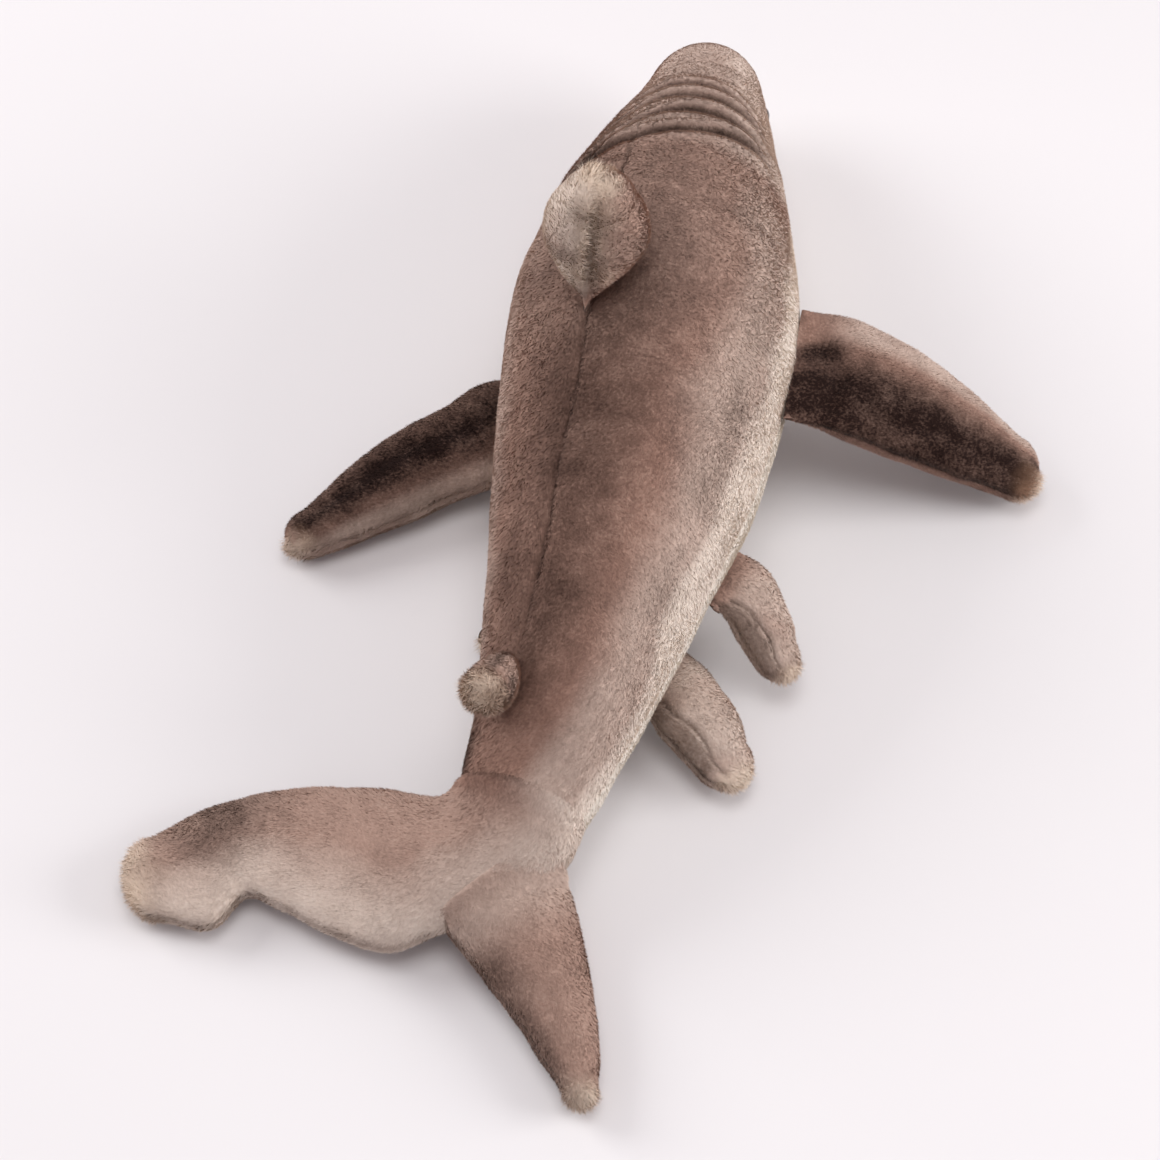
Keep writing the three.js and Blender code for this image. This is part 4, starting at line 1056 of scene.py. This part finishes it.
def lobe_cover(lobe, carrier=None):
    """A tail lobe's cover, pinched along its edge seam. The one sewn to the trunk dips at the crease. The
    other one grows out of it: where it starts, its top follows its carrier's top through a soft valley."""
    origin, *axes = tail_axes()
    stem = np.linspace(0, 1, LOBE_ROWS)
    tip = np.sin(np.radians(np.linspace(0, 90, 13)[1:]))
    cuff = np.array(lobe["cuff"])
    before = np.zeros(len(cuff))
    at = np.concatenate([before, stem, np.ones(len(tip))])[:, None]
    past = np.concatenate([before, np.zeros(len(stem)), tip])[:, None]
    reach = np.concatenate([cuff, np.zeros(len(stem) + len(tip))])[:, None]
    turn = np.linspace(0, 2 * np.pi, 2 * FIN_COLUMNS + 1)[None]
    at, past, reach, angle = np.broadcast_arrays(at, past, reach, turn)
    chord_share = (1 - np.cos(angle)) / 2
    dip = lobe["crease_dip"] * bell(at, 0.03) * (1 - ease(chord_share, 0.3, 0.6))
    inset = SKIN_INSET + dip + CUFF_DRAW * reach - lobe["root_wide"] * (1 - ease(at, 0, 0.12))
    local = lobe_point(lobe, at, past, angle, inset)
    raised = np.where(np.sin(angle) > 0, lobe["root_swell"], 0) * (1 - ease(at, 0, lobe["swell_end"]))
    local[..., 2] += raised * np.sin(angle)
    local[..., 0] -= reach
    points = origin + local @ np.array(axes)
    off_edge = np.abs(np.sin(angle)) * smooth(lobe["ribs"], LOBE_SWELL, at) * lobe["thick"] / 2
    points = swollen(points, (at < 0.02) | (past > 0.9) | (off_edge < 0.6))
    hidden = np.zeros_like(at)
    if carrier is not None:
        near = slice(0, LOBE_ROWS * 2 // 3), slice(1, FIN_COLUMNS)
        low, high = points[near][..., 2], height_over(points[near], carrier) - FILLET_TUCK
        blended = np.maximum(FILLET - np.abs(low - high), 0) / FILLET
        points[near[0], near[1], 2] = np.maximum(low, high) + blended * blended * FILLET / 4
        hidden[near] = ease(high - low, 1, 5)
    normals = grid_normals(points, True)
    opened = ease(at + past, 0.02, 0.14)
    pucker = noise(points, 7, 13)
    joined_to = ease(chord_share, 0.5, 0.7) * (1 - ease(at, 0.34, 0.42)) * lobe["carries"]
    free = 1 - joined_to
    groove = (1.2 + 0.7 * pucker) * bell(off_edge, EDGE_GROOVE_WIDTH) * opened * free
    lumps = (1.0 * noise(points, 30, 14) + 0.45 * noise(points, 12, 15)) * opened
    points = points + normals * (lumps - groove)[..., None]
    points[..., 2] = np.maximum(points[..., 2], FLOOR_CLEAR)
    normals = grid_normals(points, True)
    fluff = ease(at + 0.12 * past + 0.03 * noise(points, 8, 16), lobe["fluff_from"], 1.12)
    edge = bell(off_edge, EDGE_SHADE_WIDTH) * opened * free
    rear = ease(chord_share + 0.12 * noise(points, 18, 17), lobe["pale_from"], 1.0)
    # Painted shade at the crease, where the lobe meets the trunk
    crease = lobe["root_shade"] * bell(at, 0.03) * (1 - ease(chord_share, 0.4, 0.75))
    shade = np.maximum(0.45 * edge * (1 - fluff), crease)
    flank = lobe["flank"] * ease(chord_share, 0.5, 0.95) * (1 - ease(at, 0.06, 0.22))
    base = lobe["base_tone"] * ease(at, 0.02, 0.2) + lobe["pale_root"] * (1 - ease(at, 0.12, 0.42))
    dark_rear = lobe["dark_rear"] * ease(chord_share + 0.08 * noise(points, 12, 22), 0.62, 0.95)
    dark_rear = dark_rear * (1 - fluff) * ease(at, 0.2, 0.4)
    dark_tip = lobe["dark_tip"] * bell(at - 0.86, 0.1) * (1 - rear)
    return {
        "points": points,
        "normals": normals,
        "comb": comb_field(points, normals, 1.1),
        "length": np.where(reach > 0, 0.0, 1 - hidden),
        "shade": np.clip(np.maximum(shade, np.maximum(dark_tip, dark_rear)), 0, 1),
        "tone": np.clip(np.maximum(np.maximum(lobe["pale"] * rear, flank), base), 0, 1),
        "fluff": np.clip(fluff, 0, 1),
    }


def stuffing(name, points, material):
    """A closed lump of fibre filling inside a cover: the cover's shape drawn in, with a matted surface."""
    normals = grid_normals(points, True)
    points = points + normals * (0.4 * noise(points, 6, 18) - 0.4)[..., None]
    rows, columns = points.shape[:2]
    ends = np.stack([points[0, :-1].mean(0), points[-1, :-1].mean(0)])
    ring = points[:, :-1].reshape(-1, 3)
    wide = columns - 1
    first = np.arange(rows - 1)[:, None] * wide
    here, beside = np.arange(wide)[None], np.roll(np.arange(wide), -1)[None]
    a, b = (first + here).ravel(), (first + beside).ravel()
    sides = np.concatenate([np.stack([a, b, b + wide], -1), np.stack([a, b + wide, a + wide], -1)])
    count = len(ring)
    last = (rows - 1) * wide
    caps = np.concatenate([
        np.stack([np.full(wide, count), beside[0], here[0]], -1),
        np.stack([np.full(wide, count + 1), last + here[0], last + beside[0]], -1),
    ])
    triangles = np.concatenate([sides, caps])
    solid = np.concatenate([ring, ends])
    corner = solid[triangles]
    volume = (corner[:, 0] * np.cross(corner[:, 1], corner[:, 2])).sum()
    if volume < 0:
        triangles = triangles[:, ::-1]
    return to_object(name, {"points": solid, "triangles": triangles}, material)


BACK_COLUMNS = 44
BELLY_COLUMNS = 36
FIN_ROWS = 46
FIN_COLUMNS = 34
LOBE_ROWS = 90
ROOT_TUCK = 2.4  # a fin's root reaches this far below the CAD root, down to the trunk's backing
CREASE_DIP = 1.0  # how deep the crease before the tail is drawn in
LIFT_SHORT = 0.2  # under the eyes and the felt the cloth comes this close to the CAD skin
CUFF_DRAW = 0.4  # the tail's cuff is drawn in by this much for each millimetre that it reaches into the trunk
FILL_INSET = 6.0
FILLET = 9  # reach of the soft valley between the two lobes
FILLET_TUCK = 0.8  # the lower lobe starts this far below the top of the upper one

# A lobe's sizes, then its root and the painted shade there, then where its cloth is pale, dark or fluffy
UPPER_LOBE = {
    "back": 101, "side": 165, "thick": 44, "tip": 13, "outward": 1, "ribs": UPPER_RIBS,
    "crease_dip": CREASE_DIP, "root_swell": 0.8, "root_wide": 1.2, "swell_end": 0.12, "carries": 1,
    "cuff": (9, 6, 3, 1), "root_shade": 0.4, "pale_root": 0, "flank": 0.3,
    "base_tone": 0.15, "pale_from": 0.3, "pale": 0.8, "dark_rear": 0, "dark_tip": 0.5, "fluff_from": 0.95,
}
LOWER_LOBE = {
    "back": 113, "side": 79, "thick": 33, "tip": 9, "outward": -1, "ribs": LOWER_RIBS,
    "crease_dip": 0, "root_swell": 3.0, "root_wide": 0, "swell_end": 0.6, "carries": 0,
    "cuff": (), "root_shade": 0.0, "pale_root": 0.3, "flank": 0,
    "base_tone": 0.12, "pale_from": 1.2, "pale": 0.0, "dark_rear": 0.45, "dark_tip": 0.3, "fluff_from": 0.93,
}

# Each fin: its sizes and its seat on the trunk, then its marks. Shares across a fin run from its leading
# edge, shares along it from its root. "band" is a dark band of painted shade, partly the pile's nap:
# its middle, its reach before and behind, and its least shade before it. A brushed patch lies from one
# share across to another, and from begin to end along the fin; it darkens by its shade and pales by its
# tone. "press" is a hollow along the fin: its place across, its width and its depth.
FINS = {
    "dorsal_fin": {
        "sides": ("left", "right"), "length": 74, "chord": 62, "thick": 52, "tip": 0.24, "sweep": 4,
        "ribs": CREST, "seat": {"back": 222, "angle": 0, "lean": 25}, "fluff_from": 0.9,
        "cleft": 3.6, "edge_fluff": 0.75,
        # The left half is painted light, the lower right half painted shade
        "brushed": [{"from": 0.05, "to": 1.1, "begin": 0.12, "end": 1.1, "tone": 0.85, "half": 0},
                    {"from": 0.05, "to": 1.1, "begin": 0.12, "end": 1.1, "tone": 0.16, "half": 1},
                    {"from": 0.2, "to": 0.75, "begin": 0.1, "end": 0.5, "shade": 0.25, "half": 1}],
    },
    "second_dorsal_fin": {
        "sides": ("left", "right"), "length": 34, "chord": 30, "thick": 25, "tip": 0.34, "sweep": 22,
        "ribs": LEAF, "seat": {"back": 433, "angle": 0, "lean": 24, "gap": 0.7}, "fluff_from": 0.55,
        "edge_fluff": 0.6,
        "brushed": [{"from": -0.1, "to": 1.1, "begin": 0.2, "end": 0.62, "tone": 0.22},
                    {"from": 0.2, "to": 0.8, "begin": 0.5, "end": 1.1, "shade": 0.55}],
    },
    "left_pectoral": {
        "sides": ("under", "top"), "length": 139, "chord": 53, "thick": 31, "tip": 0.12, "sweep": 33,
        "sweep_share": 0.25, "ribs": PADDLE, "seat": {"back": 238, "angle": -105, "lean": 34.5},
        "fluff_from": 0.9, "press": (0.36, 0.16, 2.4), "edge_shade": 0.08, "fluff_behind": 0.4,
        "band": (0.47, 0.24, 0.4, 0.7),
        "brushed": [{"from": 0.9, "to": 1.1, "begin": 0.1, "end": 1.0, "tone": 0.5}],
    },
    "right_pectoral": {
        "sides": ("top", "under"), "length": 139, "chord": 72, "thick": 31, "tip": 0.12, "sweep": 1,
        "ribs": PADDLE, "seat": {"back": 224, "angle": 105, "lean": 35}, "fluff_from": 0.86,
        "seam_at": 0.88, "dimples": [(0.05, 0.35, 2.2), (0.13, 0.62, 2.6), (0.36, 0.6, 1.2)],
        "fluff_behind": 0.6, "band": (0.72, 0.34, 0.7, 0),
        # Painted shade at the root, painted light on the leading half, and a dark patch before the tip
        "brushed": [{"from": -0.1, "to": 0.9, "begin": -0.1, "end": 0.04, "shade": 0.65},
                    {"from": 0.32, "to": 0.95, "begin": -0.1, "end": 0.16, "shade": 1.0},
                    {"from": 0.4, "to": 0.58, "begin": 0.88, "end": 1.1, "shade": 0.95},
                    {"from": -0.1, "to": 0.26, "begin": 0.12, "end": 0.95, "tone": 0.42}],
    },
    "left_pelvic": {
        "sides": ("under", "top"), "length": 56.5, "chord": 41, "thick": 12, "tip": 0.22, "sweep": 39,
        "ribs": LEAF, "seat": {"back": 331.5, "angle": -136, "lean": 60.5, "gap": 1.9},
        "fluff_from": 0.88, "inset": 4.5, "fill_thin": 0.2,
    },
    "right_pelvic": {
        "sides": ("top", "under"), "length": 56.5, "chord": 41, "thick": 20, "tip": 0.22, "sweep": 24.5,
        "sweep_share": 0.5, "ribs": LEAF, "seat": {"back": 331.5, "angle": 136, "lean": 12},
        "fluff_from": 0.85, "seam_at": 0.82,
        "brushed": [{"from": -0.1, "to": 1.1, "begin": 0.1, "end": 1.1, "tone": 0.5}],
    },
    "anal_fin": {
        "sides": ("top", "under"), "length": 70.5, "chord": 47, "thick": 24, "tip": 0.22, "sweep": 32.5,
        "ribs": LEAF, "seat": {"back": 377, "angle": 171, "lean": -46, "gap": 0.9}, "fluff_from": 0.85,
        "seam_at": 0.82,
        "brushed": [{"from": -0.1, "to": 1.1, "begin": 0.1, "end": 1.1, "tone": 0.6}],
    },
}


def root_line(fin):
    """The two ends of a fin's sewn root."""
    origin, _, fore, _ = seat_axes(fin["seat"])
    return [origin + fore * fin["ribs"][0, end] * fin["chord"] for end in (TRAIL, LEAD)]


fin_roots = [root_line(fin) for fin in FINS.values()]

BACK_DENSITY = 4.2
BELLY_DENSITY = 2.0
FIN_DENSITY = 4.2
UNDER_SHADE = 0.4  # painted shade: how much darker a fin is below, away from its edge
BELLY_SHADE = 0.4  # share of the trunk's painted shade that the belly takes

tail_origin, tail_back, tail_right, tail_up = tail_axes()

fill_ring = np.linspace(0, 2 * np.pi, 41)[None]

trunk = trunk_cover()
belly_start, left_start = BACK_COLUMNS, BACK_COLUMNS + BELLY_COLUMNS
trunk_columns = 2 * BACK_COLUMNS + BELLY_COLUMNS
panels = {
    "right_back": (0, belly_start, BACK_DENSITY, brown_plush, "brown_plush"),
    "belly": (belly_start, left_start, BELLY_DENSITY, cream_plush, "cream_plush"),
    "left_back": (left_start, trunk_columns, BACK_DENSITY, brown_plush, "brown_plush"),
}
for seed, (name, (first, last, density, material, slot)) in enumerate(panels.items(), 21):
    panel = part_of(trunk, first, last)
    if name == "belly":
        panel["tone"] = np.zeros_like(panel["tone"])
        panel["shade"] = BELLY_SHADE * panel["shade"]
    cover = make_cover(f"{name}_cover", panel, density, seed, material)
    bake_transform(cover)
    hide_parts(f"{name}_panel")

fill_back = np.concatenate([
    FILL_INSET + (SNOUT_ROUND - FILL_INSET) * (1 - np.cos(np.radians(np.linspace(6, 90, 9)))),
    np.linspace(SNOUT_ROUND, CREASE_BACK - 18, 70)[1:],
])[:, None]
fill_angle = np.linspace(0, 360, 61)[None]
trunk_fill = stuffing("trunk_stuffing", trunk_point(fill_back, fill_angle, FILL_INSET + 1.5), fibre_fill)
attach(trunk_fill, "trunk")
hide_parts("trunk_filling")

for seed, (name, fin) in enumerate(FINS.items(), 31):
    cloth = fin_cover(fin, fin["seat"])
    for half, side in enumerate(fin["sides"]):
        panel = part_of(cloth, half * FIN_COLUMNS, (half + 1) * FIN_COLUMNS)
        # An underside takes painted shade away from its edge
        if side == "under":
            below = ease(panel["off_edge"], 3, 11)
            panel["tone"] = (1 - 0.7 * below) * panel["tone"]
            panel["shade"] = np.maximum(panel["shade"], UNDER_SHADE * below)
        cover = make_cover(f"{name}_{side}_cover", panel, FIN_DENSITY, 10 * seed + half, brown_plush)
        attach(cover, name)
        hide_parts(f"{name}_{side}_panel")
    fill_at, fill_turn = np.broadcast_arrays(np.linspace(0.3, 0.93, 30)[:, None], fill_ring)
    origin, *axes = seat_axes(fin["seat"])
    inside = fin_point(fin, fill_at, fill_turn, max(FILL_INSET - 1.0, fin.get("inset", 0) + 4))
    inside[..., 2] *= fin.get("fill_thin", 1)
    inside = origin + inside @ np.array(axes)
    fill = stuffing(f"{name}_stuffing", inside, fibre_fill)
    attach(fill, name)
    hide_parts(f"{name}_filling")

carrier = None
for seed, (name, lobe) in enumerate({"upper_lobe": UPPER_LOBE, "lower_lobe": LOWER_LOBE}.items(), 51):
    cloth = lobe_cover(lobe, carrier)
    carrier = cloth["points"][:, :FIN_COLUMNS + 1]
    for half, side in enumerate(("top", "under")):
        panel = part_of(cloth, half * FIN_COLUMNS, (half + 1) * FIN_COLUMNS)
        cover = make_cover(f"{name}_{side}_cover", panel, FIN_DENSITY, 10 * seed + half, brown_plush)
        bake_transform(cover)
        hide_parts(f"{name}_{side}_panel")
    fill_at, fill_turn = np.broadcast_arrays(np.linspace(0.2, 0.97, 40)[:, None], fill_ring)
    inside = lobe_point(lobe, fill_at, 0 * fill_at, fill_turn, FILL_INSET - 1.0)
    inside = tail_origin + inside @ np.array([tail_back, tail_right, tail_up])
    fill = stuffing(f"{name}_stuffing", inside, fibre_fill)
    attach(fill, "tail")
    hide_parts(f"{name}_filling")

lining = felt_sheet(np.linspace(0, 1, 25), np.linspace(-1, 1, 97),
                    lambda row, column: mouth_front(column) + row * mouth_depth(column), LINING_LIFT)
teeth = felt_sheet(np.linspace(0, 1, 9), np.linspace(-TEETH_SHARE, TEETH_SHARE, 16 * TEETH + 1),
                   lambda row, column: mouth_front(column) + row * tooth_reach(column), TEETH_LIFT)
for name, cloth, material, node, slot in (
    ("mouth_felt_lining", lining, mouth_felt_material, "mouth_lining", "mouth_felt"),
    ("felt_teeth", teeth, tooth_felt_material, "teeth", "tooth_felt"),
):
    piece = to_object(name, shell(cloth), material)
    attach(piece, "trunk")
    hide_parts(node)

for side in ("left", "right"):
    for node, material in ((f"{side}_eye", eye_plastic), (f"{side}_eye_washer", washer_plastic)):
        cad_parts[node].data.materials.clear()
        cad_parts[node].data.materials.append(material)

# Studio: a pale floor, soft light from all round, a large lamp on each side and one overhead


def pale_floor():
    """A flat disc under the shark, faintly mottled so that it isn't one even colour."""
    material, n, shader = new_material("studio_floor", roughness=0.7)
    drift = n.noise(1.5, 2)
    n.feed(shader.inputs["Base Color"], n.mix(drift, linear("#e7e5e6"), linear("#e2e0e1")))
    shader.inputs["Specular IOR Level"].default_value = 0.1
    turn = np.linspace(0, 2 * np.pi, FLOOR_SIDES + 1)[:-1]
    rim = np.stack([np.cos(turn), np.sin(turn), np.zeros_like(turn)], -1) * FLOOR_RADIUS
    points = np.concatenate([rim, [[0, 0, 0]]])
    here = np.arange(FLOOR_SIDES)
    triangles = np.stack([here, np.roll(here, -1), np.full(FLOOR_SIDES, FLOOR_SIDES)], -1)
    floor = to_object("floor", {"points": points, "triangles": triangles}, material)


FLOOR_RADIUS = 6000
FLOOR_SIDES = 64
WORLD_LIGHT = 0.485
pale_floor()

world = bpy.data.worlds.new("studio")
bpy.context.scene.world = world
world.use_nodes = True
background = world.node_tree.nodes["Background"]
background.inputs["Color"].default_value = linear("#fdf3f7")
background.inputs["Strength"].default_value = WORLD_LIGHT


def lamp(name, place, aim, size, energy):
    """A square soft lamp at a place, turned to what it lights."""
    light = bpy.data.lights.new(name, "AREA")
    light.shape = "SQUARE"
    light.size = size
    light.energy = energy
    holder = bpy.data.objects.new(name, light)
    holder.location = place
    holder.rotation_euler = (Vector(aim) - Vector(place)).to_track_quat("-Z", "Y").to_euler()
    bpy.context.scene.collection.objects.link(holder)


LAMP_AIM = (0, -0.1, 0.05)
lamp("left_lamp", (-1.9, 0.4, 1.15), LAMP_AIM, 1.3, 28)
lamp("right_lamp", (2.1, 0.0, 0.9), LAMP_AIM, 1.3, 36)
lamp("top_lamp", (0.1, -0.3, 2.3), LAMP_AIM, 1.2, 16)

# Camera, from the photograph's side: behind and above the tail
CAMERA_AZIMUTH = 10
CAMERA_ELEVATION = 55
CAMERA_DISTANCE = 1560
CAMERA_TARGET = np.array([-13.5, -110, 42])
FOCAL_PIXELS = 3300
FRAME_PIXELS = 1160
SENSOR = 36

azimuth, elevation = np.radians([CAMERA_AZIMUTH, CAMERA_ELEVATION])
to_camera = np.array([
    np.sin(azimuth) * np.cos(elevation), -np.cos(azimuth) * np.cos(elevation), np.sin(elevation)])
camera = bpy.data.objects.new("camera", bpy.data.cameras.new("camera"))
camera.data.sensor_width = SENSOR
camera.data.lens = SENSOR * FOCAL_PIXELS / FRAME_PIXELS
camera.data.clip_start, camera.data.clip_end = 0.05, 60
across = np.array([np.cos(azimuth), np.sin(azimuth), 0])
turned = Matrix(np.stack([across, np.cross(to_camera, across), to_camera], 1).tolist()).to_4x4()
camera.matrix_world = Matrix.Translation((CAMERA_TARGET + to_camera * CAMERA_DISTANCE) * MM) @ turned
bpy.context.scene.collection.objects.link(camera)
bpy.context.scene.camera = camera
bpy.context.scene.view_settings.view_transform = "Standard"
